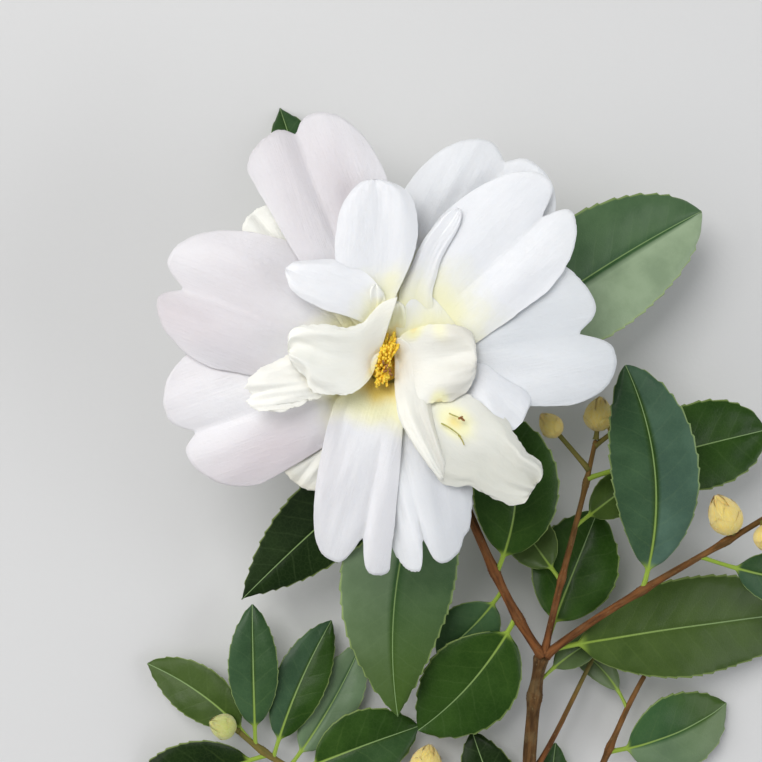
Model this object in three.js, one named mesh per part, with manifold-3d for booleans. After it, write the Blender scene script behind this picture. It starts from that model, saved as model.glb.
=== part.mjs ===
// Cut flowering branch of a white autumn camellia, lying on a level surface with its one open
// double bloom facing up. The woody stems fork low down; each leaf, petal and bud is its own body.
//
// Millimetres, +Z up. The driving sizes are laid out from the throat of the bloom, with +Y from the
// cut end of the branch towards the bloom. The finished group is moved so that its origin is the
// centre of its footprint, on the surface it lies on.

import * as THREE from "three";
import { mergeVertices } from "three/addons/utils/BufferGeometryUtils.js";
import Module from "manifold-3d";

const wasm = await Module();
wasm.setup();

const CLEARANCE = 0.32; // gap left where a leaf, bud or side stem meets the limb that carries it
const LEAF_THICKNESS = 0.7;
const PETAL_THICKNESS = 0.7;
const UP = new THREE.Vector3(0, 0, 1);
const Y_AXIS = new THREE.Vector3(0, 1, 0); // a three.js cylinder's axis

// Facet counts
const LIMB_SIDES = 8;
const LIMB_RINGS = 10;
const KNUCKLE_SHARE = 0.035; // a knuckle's half-length, as a share of its limb
const LEAF_COLUMNS = 4;
const BLADE_ROWS = 9;
const PETAL_COLUMNS = 8;
const PETAL_ROWS = 6;
const PETAL_ROW_SPREAD = 1.2; // above 1, a petal's rows are closer near its foot
const BENT_PETAL_ROWS = 13;

// Leaf shape: half-width follows k^SHOULDER * (1 - k)^taper along the blade
const SHOULDER = 0.72;
const TAPER = 0.8; // for a leaf that names no other
const STALK_HALF_WIDTH = 0.75;
const TIP_HALF_WIDTH = 0.35;

// Bloom heights: petals spring from a short column and spread into a shallow dish
const BLOOM_BASE_HEIGHT = 29;
const PETAL_PITCH = 1.25; // rise of the petal's foot for each whorl
const DISH_RISE = 7.5;
const DISH_RISE_PER_WHORL = 0.4;
const DISH_RADIUS = 8;
const COLUMN_RADIUS = 2.3;
const PETAL_FOOT_RADIUS = 2.8;
const DROOP_RADIUS = 45;
const FOOT_WIDTH_SHARE = 0.16; // a petal's width at its foot, as a share of its widest
const EDGE_ROUNDNESS = 2.6;
const NOTCH_HALF_WIDTH = 0.13; // as a share of the petal's half-width
const NOTCH_SHARPNESS = 1.4;
const COLUMN_TOP = 33.2;

const COLOURS = {
  old_bark: 0x6b4a3a,
  young_bark: 0x8a5238,
  leaf_dark: 0x1f4a25,
  leaf_mid: 0x2f5f2c,
  leaf_blue: 0x3c6a5c,
  leaf_olive: 0x54692c,
  petal_white: 0xf3f2f4,
  petal_cream: 0xf4efd9,
  bud_green: 0xb9be7a,
  bud_cream: 0xd9cf96,
  calyx: 0x7f7a45,
  stamen: 0xd9a21f,
};

// Woody limbs, thickest first. Each runs along a cubic curve from its parent; swellings are the
// knuckles where side shoots left it.
const LIMBS = {
  main_stem: {
    curve: [[27.7, -124, 1.55], [32.1, -102.2, 4.9], [28.2, -80.4, 8.9], [32.2, -59.2, 15]],
    radius: [1.75, 1.2],
    swellings: [{ at: 0.42, size: 0.3 }, { at: 0.86, size: 0.35 }, { at: 1, size: 0.5 }],
    colour: "old_bark",
  },
  right_stem: {
    curve: [[33, -59.2, 15], [47.7, -46.1, 20.8], [65.6, -37.4, 24.4], [82.5, -25.7, 25.5]],
    radius: [0.85, 0.5],
    swellings: [{ at: 0.4, size: 0.25 }, { at: 0.72, size: 0.25 }],
    colour: "young_bark",
  },
  bloom_stem: {
    curve: [[32.2, -59.2, 15], [19.4, -42.1, 20.1], [13.6, -13.9, 22.2], [0.6, -0.7, 25]],
    radius: [0.95, 0.8],
    swellings: [{ at: 0.14, size: 0.25 }, { at: 0.3, size: 0.25 }],
    colour: "young_bark",
  },
  middle_stem: {
    curve: [[32.8, -58.6, 15], [35.3, -44.1, 18.2], [39.7, -29.5, 19], [42.5, -14.8, 21]],
    radius: [0.75, 0.45],
    swellings: [{ at: 0.35, size: 0.2 }, { at: 0.8, size: 0.2 }],
    colour: "young_bark",
  },
  lower_left_stem: {
    curve: [[28.9, -110, 3.9], [8, -92, 6], [-14, -92, 6], [-30.6, -76.2, 8]],
    radius: [0.95, 0.55],
    swellings: [{ at: 0.6, size: 0.2 }, { at: 0.9, size: 0.25 }],
    colour: "young_bark",
  },
  lower_right_stem: {
    curve: [[29.2, -108.5, 4.2], [43.5, -95.5, 7], [46, -79, 7.1], [54.4, -64.5, 8]],
    radius: [0.9, 0.5],
    swellings: [{ at: 0.66, size: 0.25 }],
    colour: "young_bark",
  },
  back_stem: {
    curve: [[31.4, -84.2, 8.6], [36.7, -75.7, 8.4], [40.3, -67, 7.6], [45.3, -58.5, 6]],
    radius: [0.6, 0.4],
    swellings: [],
    colour: "young_bark",
  },
};

// Leaves. A leaf leaves its limb at a fraction of the limb's curve. arch lifts the middle of the
// leaf above the straight line to its tip, sweep bows it sideways (left seen from its foot), roll
// tips its left half up and fold raises both halves from the midrib, in degrees. A larger taper
// makes a more pointed tip.
const LEAVES = [
  { name: "leaf_bloom_right", on: "bloom_stem", at: 0.83, tip: [65.6, 32.1, 12],
    width: 25, taper: 0.66, arch: 2, sweep: 2.4, roll: 4, fold: 8, stalk: 13, colour: "leaf_blue" },
  { name: "leaf_bloom_top", on: "bloom_stem", at: 0.93, tip: [-22.4, 55.4, 0.2],
    width: 19, arch: 1.5, sweep: 1.5, roll: 0, fold: 6, stalk: 7, colour: "leaf_mid" },
  { name: "leaf_bloom_left", on: "bloom_stem", at: 0.74, tip: [-29.5, -48.2, 13],
    width: 17, taper: 1, arch: 3, sweep: -1.2, roll: -6, fold: 8, stalk: 6, colour: "leaf_dark" },
  { name: "leaf_bloom_below", on: "bloom_stem", at: 0.7, tip: [2.7, -72.1, 14],
    width: 23.5, taper: 0.95, arch: -0.5, sweep: -4.2, roll: 3, fold: 6, stalk: 3, colour: "leaf_blue" },
  { name: "leaf_fork_left", on: "bloom_stem", at: 0.15, tip: [6.9, -76.2, 8],
    width: 19, arch: 0.5, sweep: 1.8, roll: 0, fold: 5, stalk: 4, colour: "leaf_mid" },
  { name: "leaf_fork_under", on: "bloom_stem", at: 0.24, tip: [10.8, -60.5, 8],
    width: 12, arch: 0, sweep: 1, roll: 0, fold: 5, stalk: 4, colour: "leaf_blue" },
  { name: "leaf_stem_right", on: "bloom_stem", at: 0.29, tip: [23.4, -9.5, 26],
    width: 17.5, arch: 1, sweep: -3.2, roll: 5, fold: 6, stalk: 4, colour: "leaf_mid" },
  { name: "leaf_upright", on: "right_stem", at: 0.4, tip: [47.6, 0.1, 27],
    width: 17.5, taper: 0.7, arch: 1.5, sweep: -4, roll: -4, fold: 7, stalk: 4, colour: "leaf_mid" },
  { name: "leaf_far_right", on: "middle_stem", at: 0.82, tip: [78.7, -13.1, 13],
    width: 18, taper: 0.6, arch: 1, sweep: 0.5, roll: 0, fold: 5, stalk: 8, colour: "leaf_mid" },
  { name: "leaf_right_large", on: "right_stem", at: 0.04, tip: [91.7, -52.3, 0.2],
    width: 21, arch: 2.5, sweep: 1, roll: 4, fold: 6, stalk: 5, colour: "leaf_olive" },
  { name: "leaf_middle_under", on: "middle_stem", at: 0.06, tip: [44.5, -30, 9],
    width: 18, arch: -1, sweep: 0, roll: 0, fold: 5, stalk: 4, colour: "leaf_mid" },
  { name: "leaf_middle_small", on: "middle_stem", at: 0.34, tip: [26.2, -30.2, 10],
    width: 10, arch: 0, sweep: 0, roll: 0, fold: 5, stalk: 3.5, colour: "leaf_olive" },
  { name: "leaf_middle_right", on: "middle_stem", at: 0.6, tip: [54.8, -21.4, 11],
    width: 9, arch: 0, sweep: 0, roll: 0, fold: 5, stalk: 4, colour: "leaf_olive" },
  { name: "leaf_fork_small", on: "main_stem", at: 0.9, tip: [46.5, -55.5, 9.5],
    width: 6.5, arch: 0.3, sweep: 1, roll: 0, fold: 5, stalk: 5, colour: "leaf_olive" },
  { name: "leaf_low_hidden", on: "lower_right_stem", at: 0.84, tip: [37.3, -58.1, 1.5],
    width: 6, arch: 0, sweep: -2, roll: 0, fold: 5, stalk: 4, colour: "leaf_olive" },
  { name: "leaf_low_right", on: "lower_right_stem", at: 0.64, tip: [72.8, -71.5, 2],
    width: 17, arch: 1, sweep: -1.5, roll: 10, fold: 5, stalk: 4, colour: "leaf_blue" },
  { name: "leaf_right_edge", on: "right_stem", at: 0.62, tip: [92, -44.5, 16],
    width: 11, arch: 1, sweep: -1, roll: 0, fold: 5, stalk: 8, colour: "leaf_mid" },
  { name: "leaf_low_tip", on: "lower_right_stem", at: 0.2, tip: [36.2, -79.6, 4],
    width: 8, arch: 0, sweep: 1, roll: 0, fold: 5, stalk: 4, colour: "leaf_mid" },
  { name: "leaf_low_middle", on: "main_stem", at: 0.35, tip: [18.5, -77, 4.5],
    width: 12, arch: 1, sweep: 1, roll: 0, fold: 5, stalk: 4, colour: "leaf_dark" },
  { name: "leaf_left_upright", on: "lower_left_stem", at: 0.93, tip: [-27.7, -49.7, 8],
    width: 10.5, arch: 1, sweep: 0, roll: 0, fold: 6, stalk: 4, colour: "leaf_mid" },
  { name: "leaf_left_slim", on: "lower_left_stem", at: 0.86, tip: [-11.2, -53.6, 4],
    width: 11, arch: 1, sweep: 1, roll: 0, fold: 6, stalk: 4, colour: "leaf_mid" },
  { name: "leaf_left_pale", on: "lower_left_stem", at: 0.8, tip: [-4.8, -58.5, 2],
    width: 11, arch: 0, sweep: -1, roll: 0, fold: 6, stalk: 4, colour: "leaf_blue" },
  { name: "leaf_left_wide", on: "lower_left_stem", at: 0.77, tip: [7.3, -75.8, 5],
    width: 15, arch: 1, sweep: 0.5, roll: 0, fold: 6, stalk: 4, colour: "leaf_mid" },
  { name: "leaf_left_floor", on: "lower_left_stem", at: 0.88, tip: [-54.5, -91, 0.2],
    width: 15, arch: 1.5, sweep: 0, roll: 0, fold: 5, stalk: 4, colour: "leaf_dark" },
  { name: "leaf_left_outer", on: "lower_left_stem", at: 0.94, tip: [-50.5, -63, 2.6],
    width: 11, arch: 1, sweep: -2, roll: 0, fold: 5, stalk: 4, colour: "leaf_olive" },
];

// Petals, back whorl first. azimuth is the way a petal points and reach its length from the throat.
// halves are its half-widths and shoulders where along its reach its sides turn in, left and right
// seen from its foot. taper is how fast it widens, droop and cup how far its tip hangs and its sides
// lift, and lean how much longer its left half is. Each notch parts two lobes of its edge, at a
// fraction of the half-width and with a depth.
const PETALS = [
  { name: "petal_back_left", azimuth: 131, reach: 39, halves: [6.5, 6.5], shoulders: [0.7, 0.7],
    taper: 0.7, whorl: 0, droop: 1, cup: 0, lean: 0, notches: [], colour: "petal_cream" },
  { name: "petal_back_low", azimuth: 233, reach: 28.5, halves: [6.5, 6.5], shoulders: [0.7, 0.7],
    taper: 0.7, whorl: 0, droop: 1, cup: 0, lean: 0, notches: [], colour: "petal_cream" },
  { name: "petal_back_top", azimuth: 63, reach: 48, halves: [12, 16], shoulders: [0.65, 0.75],
    taper: 0.6, whorl: 0, droop: 1, cup: 0, lean: -2, notches: [[-0.17, 2.8]], colour: "petal_white" },
  { name: "petal_left_low", azimuth: 199, reach: 43, halves: [14, 15.5], shoulders: [0.75, 0.65],
    taper: 0.4, whorl: 1, droop: 3, cup: 0, lean: -2, notches: [[0, 4]], colour: "petal_white" },
  { name: "petal_right", azimuth: 10, reach: 43.5, halves: [18, 14], shoulders: [0.65, 0.7],
    taper: 0.4, whorl: 1, droop: 2, cup: 0, lean: -3.5, notches: [[0, 5.5]], colour: "petal_white" },
  { name: "petal_low_middle", azimuth: 284, reach: 40, halves: [11, 7], shoulders: [0.55, 0.8],
    taper: 0.75, whorl: 1, droop: 2, cup: 0, lean: -1.5, notches: [[-0.15, 6.3]], colour: "petal_white" },
  { name: "petal_left_top", azimuth: 159, reach: 46.5, halves: [12.5, 15.5], shoulders: [0.7, 0.45],
    taper: 0.45, whorl: 2, droop: 3, cup: 0, lean: -1.5, notches: [[0, 5]], colour: "petal_white" },
  { name: "petal_low_left", azimuth: 254, reach: 38.5, halves: [11.5, 7.5], shoulders: [0.9, 0.3],
    taper: 0.85, whorl: 2, droop: 2.5, cup: 0, lean: 2.5, notches: [[0.43, 6.5]], colour: "petal_white" },
  { name: "petal_top_right", azimuth: 44, reach: 47.5, halves: [13, 11.5], shoulders: [0.55, 0.7],
    taper: 0.45, whorl: 2, droop: 2, cup: 0, lean: 2, notches: [[-0.05, 6]], colour: "petal_white" },
  { name: "petal_top_left", azimuth: 110, reach: 50, halves: [12, 12.5], shoulders: [0.9, 0.65],
    taper: 0.65, whorl: 3, droop: 2.5, cup: 0, lean: -1, notches: [[0.08, 2.5]], colour: "petal_white" },
  { name: "petaloid_left_low", azimuth: 190, reach: 26.5, halves: [5.5, 5.5], shoulders: [0.7, 0.35],
    taper: 0.7, whorl: 4, droop: 0, cup: 0.3, lean: 1.5, notches: [], colour: "petal_cream" },
];

// Petals of the bloom's middle, which have bent and folded shapes: the places that the left and the
// right edge of each run through, from foot to tip.
const BENT_PETALS = [
  { name: "petal_low_right", whorl: 2.5, droop: 1.5, cup: 0, colour: "petal_cream",
    left: [[3.2, -1.3], [8.6, -4.0], [13.5, -5.1], [17.3, -6.3], [20.6, -8.6], [23.4, -10.9],
           [24.6, -13.1], [25.9, -14.7], [26.7, -16.2], [28.4, -17.5], [29.7, -18.7], [30.1, -20.4],
           [29.5, -21.9], [28.4, -22.7]],
    right: [[2.1, -5.9], [2.5, -9.7], [4.2, -13.1], [6.5, -16.8], [8.6, -20.0], [11.1, -22.5],
            [13.5, -22.9], [16.0, -22.9], [17.9, -24.2], [19.6, -25.1], [22.1, -25.9], [24.6, -26.5],
            [26.9, -25.9], [27.4, -24.2], [27.8, -22.7]] },
  { name: "petal_inner_top", whorl: 4, droop: 0.5, cup: 0.2, colour: "petal_white",
    left: [[-4.4, 6.6], [-6.6, 8.9], [-8.1, 12.3], [-8.9, 16.1], [-9.3, 19.5], [-9.5, 22.7],
           [-9.1, 25.9], [-8.5, 29.0], [-7.4, 31.4], [-5.9, 33.3], [-4.0, 34.7], [-1.9, 35.0]],
    right: [[0.2, 9.3], [1.3, 11.5], [2.5, 14.0], [3.6, 16.3], [4.7, 18.9], [5.7, 21.8], [6.2, 24.6],
            [6.1, 27.8], [5.5, 30.5], [4.4, 32.6], [2.5, 33.9], [0.4, 34.7], [-1.5, 35.0]] },
  { name: "petaloid_right", whorl: 4, droop: 30, cup: 0, colour: "petal_cream",
    left: [[2.3, 4.8], [3.6, 6.1], [5.7, 7.1], [8.6, 7.6], [12.0, 7.8], [14.7, 7.4], [16.4, 6.3],
           [17.2, 4.4], [17.5, 2.1]],
    right: [[2.3, -7.0], [4.8, -7.6], [7.4, -7.4], [9.7, -7.2], [12.0, -6.9], [14.1, -6.1],
            [15.8, -4.8], [17.0, -2.7], [17.5, -0.2]] },
  { name: "petaloid_top", whorl: 2.75, droop: 2, cup: 0, colour: "petal_white",
    left: [[2.3, 3.8], [2.3, 7.6], [2.5, 11.6], [2.8, 14.1], [3.6, 16.2], [4.9, 18.8], [6.3, 21.9],
           [7.8, 24.5], [9.9, 27.0], [12.3, 29.3], [13.7, 30.0]],
    right: [[7.4, 3.8], [8.2, 5.9], [8.9, 8.6], [9.1, 11.2], [9.1, 14.1], [9.9, 17.1], [10.6, 19.8],
            [11.6, 21.9], [12.9, 24.1], [14.1, 26.4], [14.6, 28.3], [14.4, 29.6]] },
  { name: "petaloid_top_left", whorl: 4.7, droop: 0, cup: 0, colour: "petal_white",
    left: [[-3.6, 7.4], [-5.3, 8.5], [-7.6, 9.3], [-11.4, 10.4], [-14.2, 11.7], [-16.5, 13.1],
           [-17.8, 14.4], [-18.4, 16.1], [-18.8, 17.6]],
    right: [[0.2, 12.3], [-1.3, 15.0], [-3.4, 17.2], [-6.3, 18.9], [-9.5, 19.9], [-12.7, 19.9],
            [-15.3, 19.7], [-17.4, 19.3], [-18.6, 18.4]] },
  { name: "petaloid_left", whorl: 5.6, droop: 18, cup: 0, colour: "petal_cream",
    left: [[-2.3, -1.7], [-3.4, -3.2], [-5.1, -4.7], [-7.4, -5.7], [-10.0, -5.7], [-12.5, -5.3],
           [-14.4, -4.2], [-14.9, -2.7], [-16.2, -1.2], [-17.8, 0.5], [-18.3, 2.4]],
    right: [[2.4, 12.8], [0.9, 12.4], [-0.9, 11.5], [-2.6, 9.8], [-4.3, 7.9], [-7.4, 7.3],
            [-10.8, 7.5], [-14.2, 7.5], [-16.4, 7.3], [-17.8, 6.6], [-18.3, 4.7], [-18.3, 3.2]] },
];

// Buds: an egg of scales on its limb, pointing along towards, pushed out by gap from the limb axis
const BUDS = [
  { name: "bud_low_left", on: "lower_left_stem", at: 1, towards: [-0.85, 0.35, 0.35],
    length: 6.2, width: 5, gap: 0.6, colour: "bud_green" },
  { name: "bud_low_middle", on: "lower_left_stem", at: 0.36, towards: [0.2, 0.98, 0],
    length: 8, width: 6.4, gap: 9, colour: "bud_cream" },
  { name: "bud_middle_left", on: "middle_stem", at: 1, towards: [0.1, 0.98, 0.1],
    length: 7.3, width: 5.6, gap: 1.6, colour: "bud_cream" },
  { name: "bud_middle_right", on: "middle_stem", at: 0.97, towards: [0.8, 0.57, -0.2],
    length: 6.6, width: 5, gap: 4, colour: "bud_cream" },
  { name: "bud_middle_back", on: "middle_stem", at: 0.86, towards: [-0.65, 0.76, -0.05],
    length: 6, width: 4.4, gap: 9, colour: "bud_cream" },
  { name: "bud_right", on: "right_stem", at: 0.75, towards: [-0.42, 0.8, 0.35],
    length: 9.6, width: 6.2, gap: 0.8, colour: "bud_cream" },
  { name: "bud_right_far", on: "right_stem", at: 0.85, towards: [0.3, -0.9, 0.1],
    length: 6.4, width: 5, gap: 0.8, colour: "bud_cream" },
];

const BUD_STALK_RADIUS = 0.6;
const BUD_STALK_SUNK = 0.3; // how far the stalk runs into the bud
const BUD_STATIONS = [0.12, 0.3, 0.5, 0.7, 0.88]; // fractions of the bud's length
const BUD_SIDES = 9;
const BUD_FULLEST = 0.8; // below 1, a bud is fullest below its middle
const BUD_BLUNTNESS = 0.7; // below 1, its sides are rounder and its tip blunter

// Calyx: a cup of scales from the end of the stem to the petals' feet
const CALYX_FOOT_HEIGHT = 25.6;
const CALYX_CUP = [[1.7, 25.8], [3.4, 27]]; // radius and height of its lower rings
const CALYX_RIM_RADIUS = 3.9;
const CALYX_RIM_DEPTH = 0.9; // how far its rim stays below the lowest petals
const CALYX_LIP = 0.2;

// Stamens: they spring from a low disc on the column and splay into the narrow bent throat. Each
// pair of numbers is where one ends, seen from above.
const STAMENS = {
  ends: [[-0.5, -3.9], [0.5, -2.9], [-0.5, -1.9], [0.7, -1], [-0.3, -0.1], [1, 0.8], [0.1, 1.7], [1.2, 2.6],
    [0.6, 3.6]],
  gathered: 0.3, // how near the axis its foot stands, as a share of its end's distance
  height: 4.4,
  filament: 0.32,
  anther: 0.5,
  disc: 0.8,
  discRadius: 1.6,
};
const ROUND_SIDES = 12;

/** A three.js geometry's solid, for cutting and joining. */
function toSolid(geometry) {
  const bare = geometry.clone();
  bare.deleteAttribute("normal");
  bare.deleteAttribute("uv");
  const merged = mergeVertices(bare, 1e-4);
  return new wasm.Manifold(new wasm.Mesh({
    numProp: 3,
    vertProperties: new Float32Array(merged.attributes.position.array),
    triVerts: new Uint32Array(merged.index.array),
  }));
}

/** A solid's three.js geometry. */
function toGeometry(solid) {
  const mesh = solid.getMesh();
  const geometry = new THREE.BufferGeometry();
  const position = new Float32Array(mesh.numVert * 3);
  for (let i = 0; i < mesh.numVert; i += 1) {
    for (let k = 0; k < 3; k += 1) {
      position[i * 3 + k] = mesh.vertProperties[i * mesh.numProp + k];
    }
  }
  geometry.setAttribute("position", new THREE.BufferAttribute(position, 3));
  geometry.setIndex(new THREE.BufferAttribute(new Uint32Array(mesh.triVerts), 1));
  return geometry;
}

/** The largest piece of a solid: what a cut leaves on the far side is dropped. */
function largestPiece(solid) {
  return solid.decompose().reduce((best, piece) => (piece.volume() > best.volume() ? piece : best));
}

/** A solid with what each of the others fills taken away. */
function cutClear(solid, others) {
  return largestPiece(others.reduce((rest, other) => rest.subtract(other), solid));
}

/** A three.js geometry from corner points and triangles of their numbers. */
function geometryOf(points, faces) {
  const geometry = new THREE.BufferGeometry();
  const values = points.flatMap((point) => point.toArray());
  geometry.setAttribute("position", new THREE.Float32BufferAttribute(values, 3));
  geometry.setIndex(faces.flat());
  return geometry;
}

/** Evenly spaced fractions from 0 to 1. */
function fractions(steps) {
  return Array.from({ length: steps + 1 }, (unused, step) => step / steps);
}

/** A closed sheet between a grid of upper points and a grid of lower points. */
function sheetGeometry(acrossValues, alongValues, upperPoint, lowerPoint) {
  const columns = acrossValues.length;
  const rows = alongValues.length;
  const points = [];
  for (const point of [upperPoint, lowerPoint]) {
    for (const along of alongValues) {
      for (const across of acrossValues) {
        points.push(point(across, along));
      }
    }
  }
  const upper = (column, row) => row * columns + column;
  const lower = (column, row) => columns * rows + upper(column, row);
  const faces = [];
  const quad = (a, b, c, d) => faces.push([a, b, c], [a, c, d]);
  for (let row = 0; row < rows - 1; row += 1) {
    for (let column = 0; column < columns - 1; column += 1) {
      const next = column + 1;
      quad(upper(column, row), upper(next, row), upper(next, row + 1), upper(column, row + 1));
      quad(lower(column, row), lower(column, row + 1), lower(next, row + 1), lower(next, row));
    }
    quad(upper(0, row), upper(0, row + 1), lower(0, row + 1), lower(0, row));
    const last = columns - 1;
    quad(upper(last, row), lower(last, row), lower(last, row + 1), upper(last, row + 1));
  }
  for (let column = 0; column < columns - 1; column += 1) {
    const last = rows - 1;
    quad(upper(column, 0), lower(column, 0), lower(column + 1, 0), upper(column + 1, 0));
    quad(upper(column, last), upper(column + 1, last), lower(column + 1, last), lower(column, last));
  }
  return geometryOf(points, faces);
}

/** The curve of a limb's axis. */
function limbCurve(limb) {
  return new THREE.CubicBezierCurve3(...limb.curve.map((point) => new THREE.Vector3(...point)));
}

/** The limb's radius at a fraction of its curve, with its knuckles. */
function limbRadius(limb, at) {
  const [start, end] = limb.radius;
  const knuckles = limb.swellings.map((knuckle) => {
    const away = (at - knuckle.at) / KNUCKLE_SHARE;
    return knuckle.size * Math.exp(-(away ** 2));
  });
  return start + (end - start) * at + knuckles.reduce((sum, size) => sum + size, 0);
}

/** One tapering limb with a flat cut at each end. */
function limbSolid(limb, grow) {
  const curve = limbCurve(limb);
  const knuckles = limb.swellings.map((knuckle) => knuckle.at);
  const stations = [...new Set([...fractions(LIMB_RINGS), ...knuckles])].sort((a, b) => a - b);
  const points = [];
  for (const at of stations) {
    const along = curve.getTangent(at);
    const side = new THREE.Vector3().crossVectors(UP, along).normalize();
    const top = new THREE.Vector3().crossVectors(along, side);
    const centre = curve.getPoint(at);
    if (at === 0) centre.addScaledVector(along, -grow);
    if (at === 1) centre.addScaledVector(along, grow);
    for (let corner = 0; corner < LIMB_SIDES; corner += 1) {
      const angle = ((corner + 0.5) / LIMB_SIDES) * 2 * Math.PI;
      const radius = limbRadius(limb, at) + grow;
      points.push(centre.clone()
        .addScaledVector(side, radius * Math.cos(angle))
        .addScaledVector(top, radius * Math.sin(angle)));
    }
  }
  const faces = [];
  const last = (stations.length - 1) * LIMB_SIDES;
  for (let corner = 0; corner < LIMB_SIDES; corner += 1) {
    const next = (corner + 1) % LIMB_SIDES;
    for (let base = 0; base < last; base += LIMB_SIDES) {
      const above = base + LIMB_SIDES;
      faces.push([base + corner, above + next, above + corner], [base + corner, base + next, above + next]);
    }
    if (corner > 0 && corner < LIMB_SIDES - 1) {
      faces.push([0, next, corner], [last, last + corner, last + next]);
    }
  }
  return toSolid(geometryOf(points, faces));
}

/** The curve of a leaf's midrib, from the axis of its limb to its tip. */
function midribCurve(leaf) {
  const foot = limbCurve(LIMBS[leaf.on]).getPoint(leaf.at);
  const tip = new THREE.Vector3(...leaf.tip);
  const along = tip.clone().sub(foot).normalize();
  const left = new THREE.Vector3().crossVectors(UP, along).normalize();
  const bend = foot.clone().add(tip).multiplyScalar(0.5)
    .addScaledVector(UP, 2 * leaf.arch)
    .addScaledVector(left, 2 * leaf.sweep);
  return new THREE.QuadraticBezierCurve3(foot, bend, tip);
}

/** Half the blade's width at a fraction of the way from its stalk to its tip. */
function bladeHalfWidth(leaf, k) {
  const taper = leaf.taper ?? TAPER;
  const widest = SHOULDER / (SHOULDER + taper);
  const peak = widest ** SHOULDER * (1 - widest) ** taper;
  return (leaf.width / 2) * (k ** SHOULDER * (1 - k) ** taper) / peak;
}

/** A thin leaf: a stalk that widens into a pointed blade, folded along its midrib. */
function leafSolid(leaf) {
  const curve = midribCurve(leaf);
  const stalk = leaf.stalk / curve.getLength();
  const roll = THREE.MathUtils.degToRad(leaf.roll);
  const fold = THREE.MathUtils.degToRad(leaf.fold);
  const surface = (offset) => (across, at) => {
    const along = curve.getTangent(at);
    const left = new THREE.Vector3().crossVectors(UP, along).normalize().applyAxisAngle(along, roll);
    const normal = new THREE.Vector3().crossVectors(along, left);
    const k = Math.max(0, (at - stalk) / (1 - stalk));
    const least = k > 0.5 ? TIP_HALF_WIDTH : STALK_HALF_WIDTH;
    const reach = across * Math.max(least, bladeHalfWidth(leaf, k));
    return curve.getPoint(at)
      .addScaledVector(left, -reach * Math.cos(fold))
      .addScaledVector(normal, Math.abs(reach) * Math.sin(fold) + offset);
  };
  const acrossValues = fractions(LEAF_COLUMNS).map((share) => 2 * share - 1);
  const blade = fractions(BLADE_ROWS).map((share) => (1 - Math.cos(Math.PI * share)) / 2);
  const alongValues = [0, ...blade.map((k) => stalk + (1 - stalk) * k)];
  return toSolid(sheetGeometry(acrossValues, alongValues,
    surface(LEAF_THICKNESS / 2), surface(-LEAF_THICKNESS / 2)));
}

/** How far the petal reaches at a fraction of its half-width. */
function petalReach(petal, left) {
  const shoulder = petal.shoulders[left > 0 ? 0 : 1];
  const rounded = shoulder + (1 - shoulder) * Math.sqrt(1 - Math.abs(left) ** EDGE_ROUNDNESS);
  const clefts = petal.notches.map(([at, depth]) => {
    const away = Math.abs(left - at) / NOTCH_HALF_WIDTH;
    return depth * Math.exp(-(away ** NOTCH_SHARPNESS));
  });
  return petal.reach * rounded + petal.lean * left - clefts.reduce((sum, depth) => sum + depth, 0);
}

/** The columns of a petal, right to left seen from its foot: closer at its sides and its notches. */
function petalColumns(petal) {
  const even = fractions(PETAL_COLUMNS).map((share) => Math.sin(Math.PI * (share - 0.5)));
  const clear = even.filter((right) => petal.notches.every(([at]) => (
    Math.abs(right) === 1 || Math.abs(right + at) > NOTCH_HALF_WIDTH)));
  const clefts = petal.notches.flatMap(([at]) => [-1, 0, 1].map((step) => step * NOTCH_HALF_WIDTH - at));
  return [...clear, ...clefts].sort((a, b) => a - b);
}

/** A place on a petal, seen from above, raised to the petal's height. */
function petalPoint(petal, x, y, left, along, offset) {
  const radius = Math.hypot(x, y);
  const dish = 1 - Math.exp(-Math.max(0, radius - PETAL_FOOT_RADIUS) / DISH_RADIUS);
  const height = BLOOM_BASE_HEIGHT + PETAL_PITCH * petal.whorl
    + (DISH_RISE + DISH_RISE_PER_WHORL * petal.whorl) * dish
    - petal.droop * (radius / DROOP_RADIUS) ** 3
    + petal.cup * left ** 2 * along;
  return new THREE.Vector3(x, y, height + offset);
}

/** A thin petal that springs from the column and spreads to a lobed edge. */
function petalSolid(petal) {
  const azimuth = THREE.MathUtils.degToRad(petal.azimuth);
  const outward = new THREE.Vector2(Math.cos(azimuth), Math.sin(azimuth));
  const surface = (offset) => (right, along) => {
    const left = -right;
    const widest = petal.halves[left > 0 ? 0 : 1];
    const halfWidth = widest * (FOOT_WIDTH_SHARE + (1 - FOOT_WIDTH_SHARE) * along ** petal.taper);
    const out = PETAL_FOOT_RADIUS + (petalReach(petal, left) - PETAL_FOOT_RADIUS) * along;
    const side = left * halfWidth;
    const x = out * outward.x - side * outward.y;
    const y = out * outward.y + side * outward.x;
    return petalPoint(petal, x, y, left, along, offset);
  };
  const alongValues = fractions(PETAL_ROWS).map((share) => share ** PETAL_ROW_SPREAD);
  return toSolid(sheetGeometry(petalColumns(petal), alongValues,
    surface(PETAL_THICKNESS / 2), surface(-PETAL_THICKNESS / 2)));
}

/** A thin petal that lies between a left and a right edge. */
function bentPetalSolid(petal) {
  const [leftEdge, rightEdge] = [petal.left, petal.right].map((places) => (
    new THREE.SplineCurve(places.map(([x, y]) => new THREE.Vector2(x, y)))));
  const surface = (offset) => (right, along) => {
    const place = leftEdge.getPointAt(along).lerp(rightEdge.getPointAt(along), (1 + right) / 2);
    return petalPoint(petal, place.x, place.y, -right, along, offset);
  };
  const acrossValues = fractions(PETAL_COLUMNS).map((share) => Math.sin(Math.PI * (share - 0.5)));
  return toSolid(sheetGeometry(acrossValues, fractions(BENT_PETAL_ROWS),
    surface(PETAL_THICKNESS / 2), surface(-PETAL_THICKNESS / 2)));
}

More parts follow.
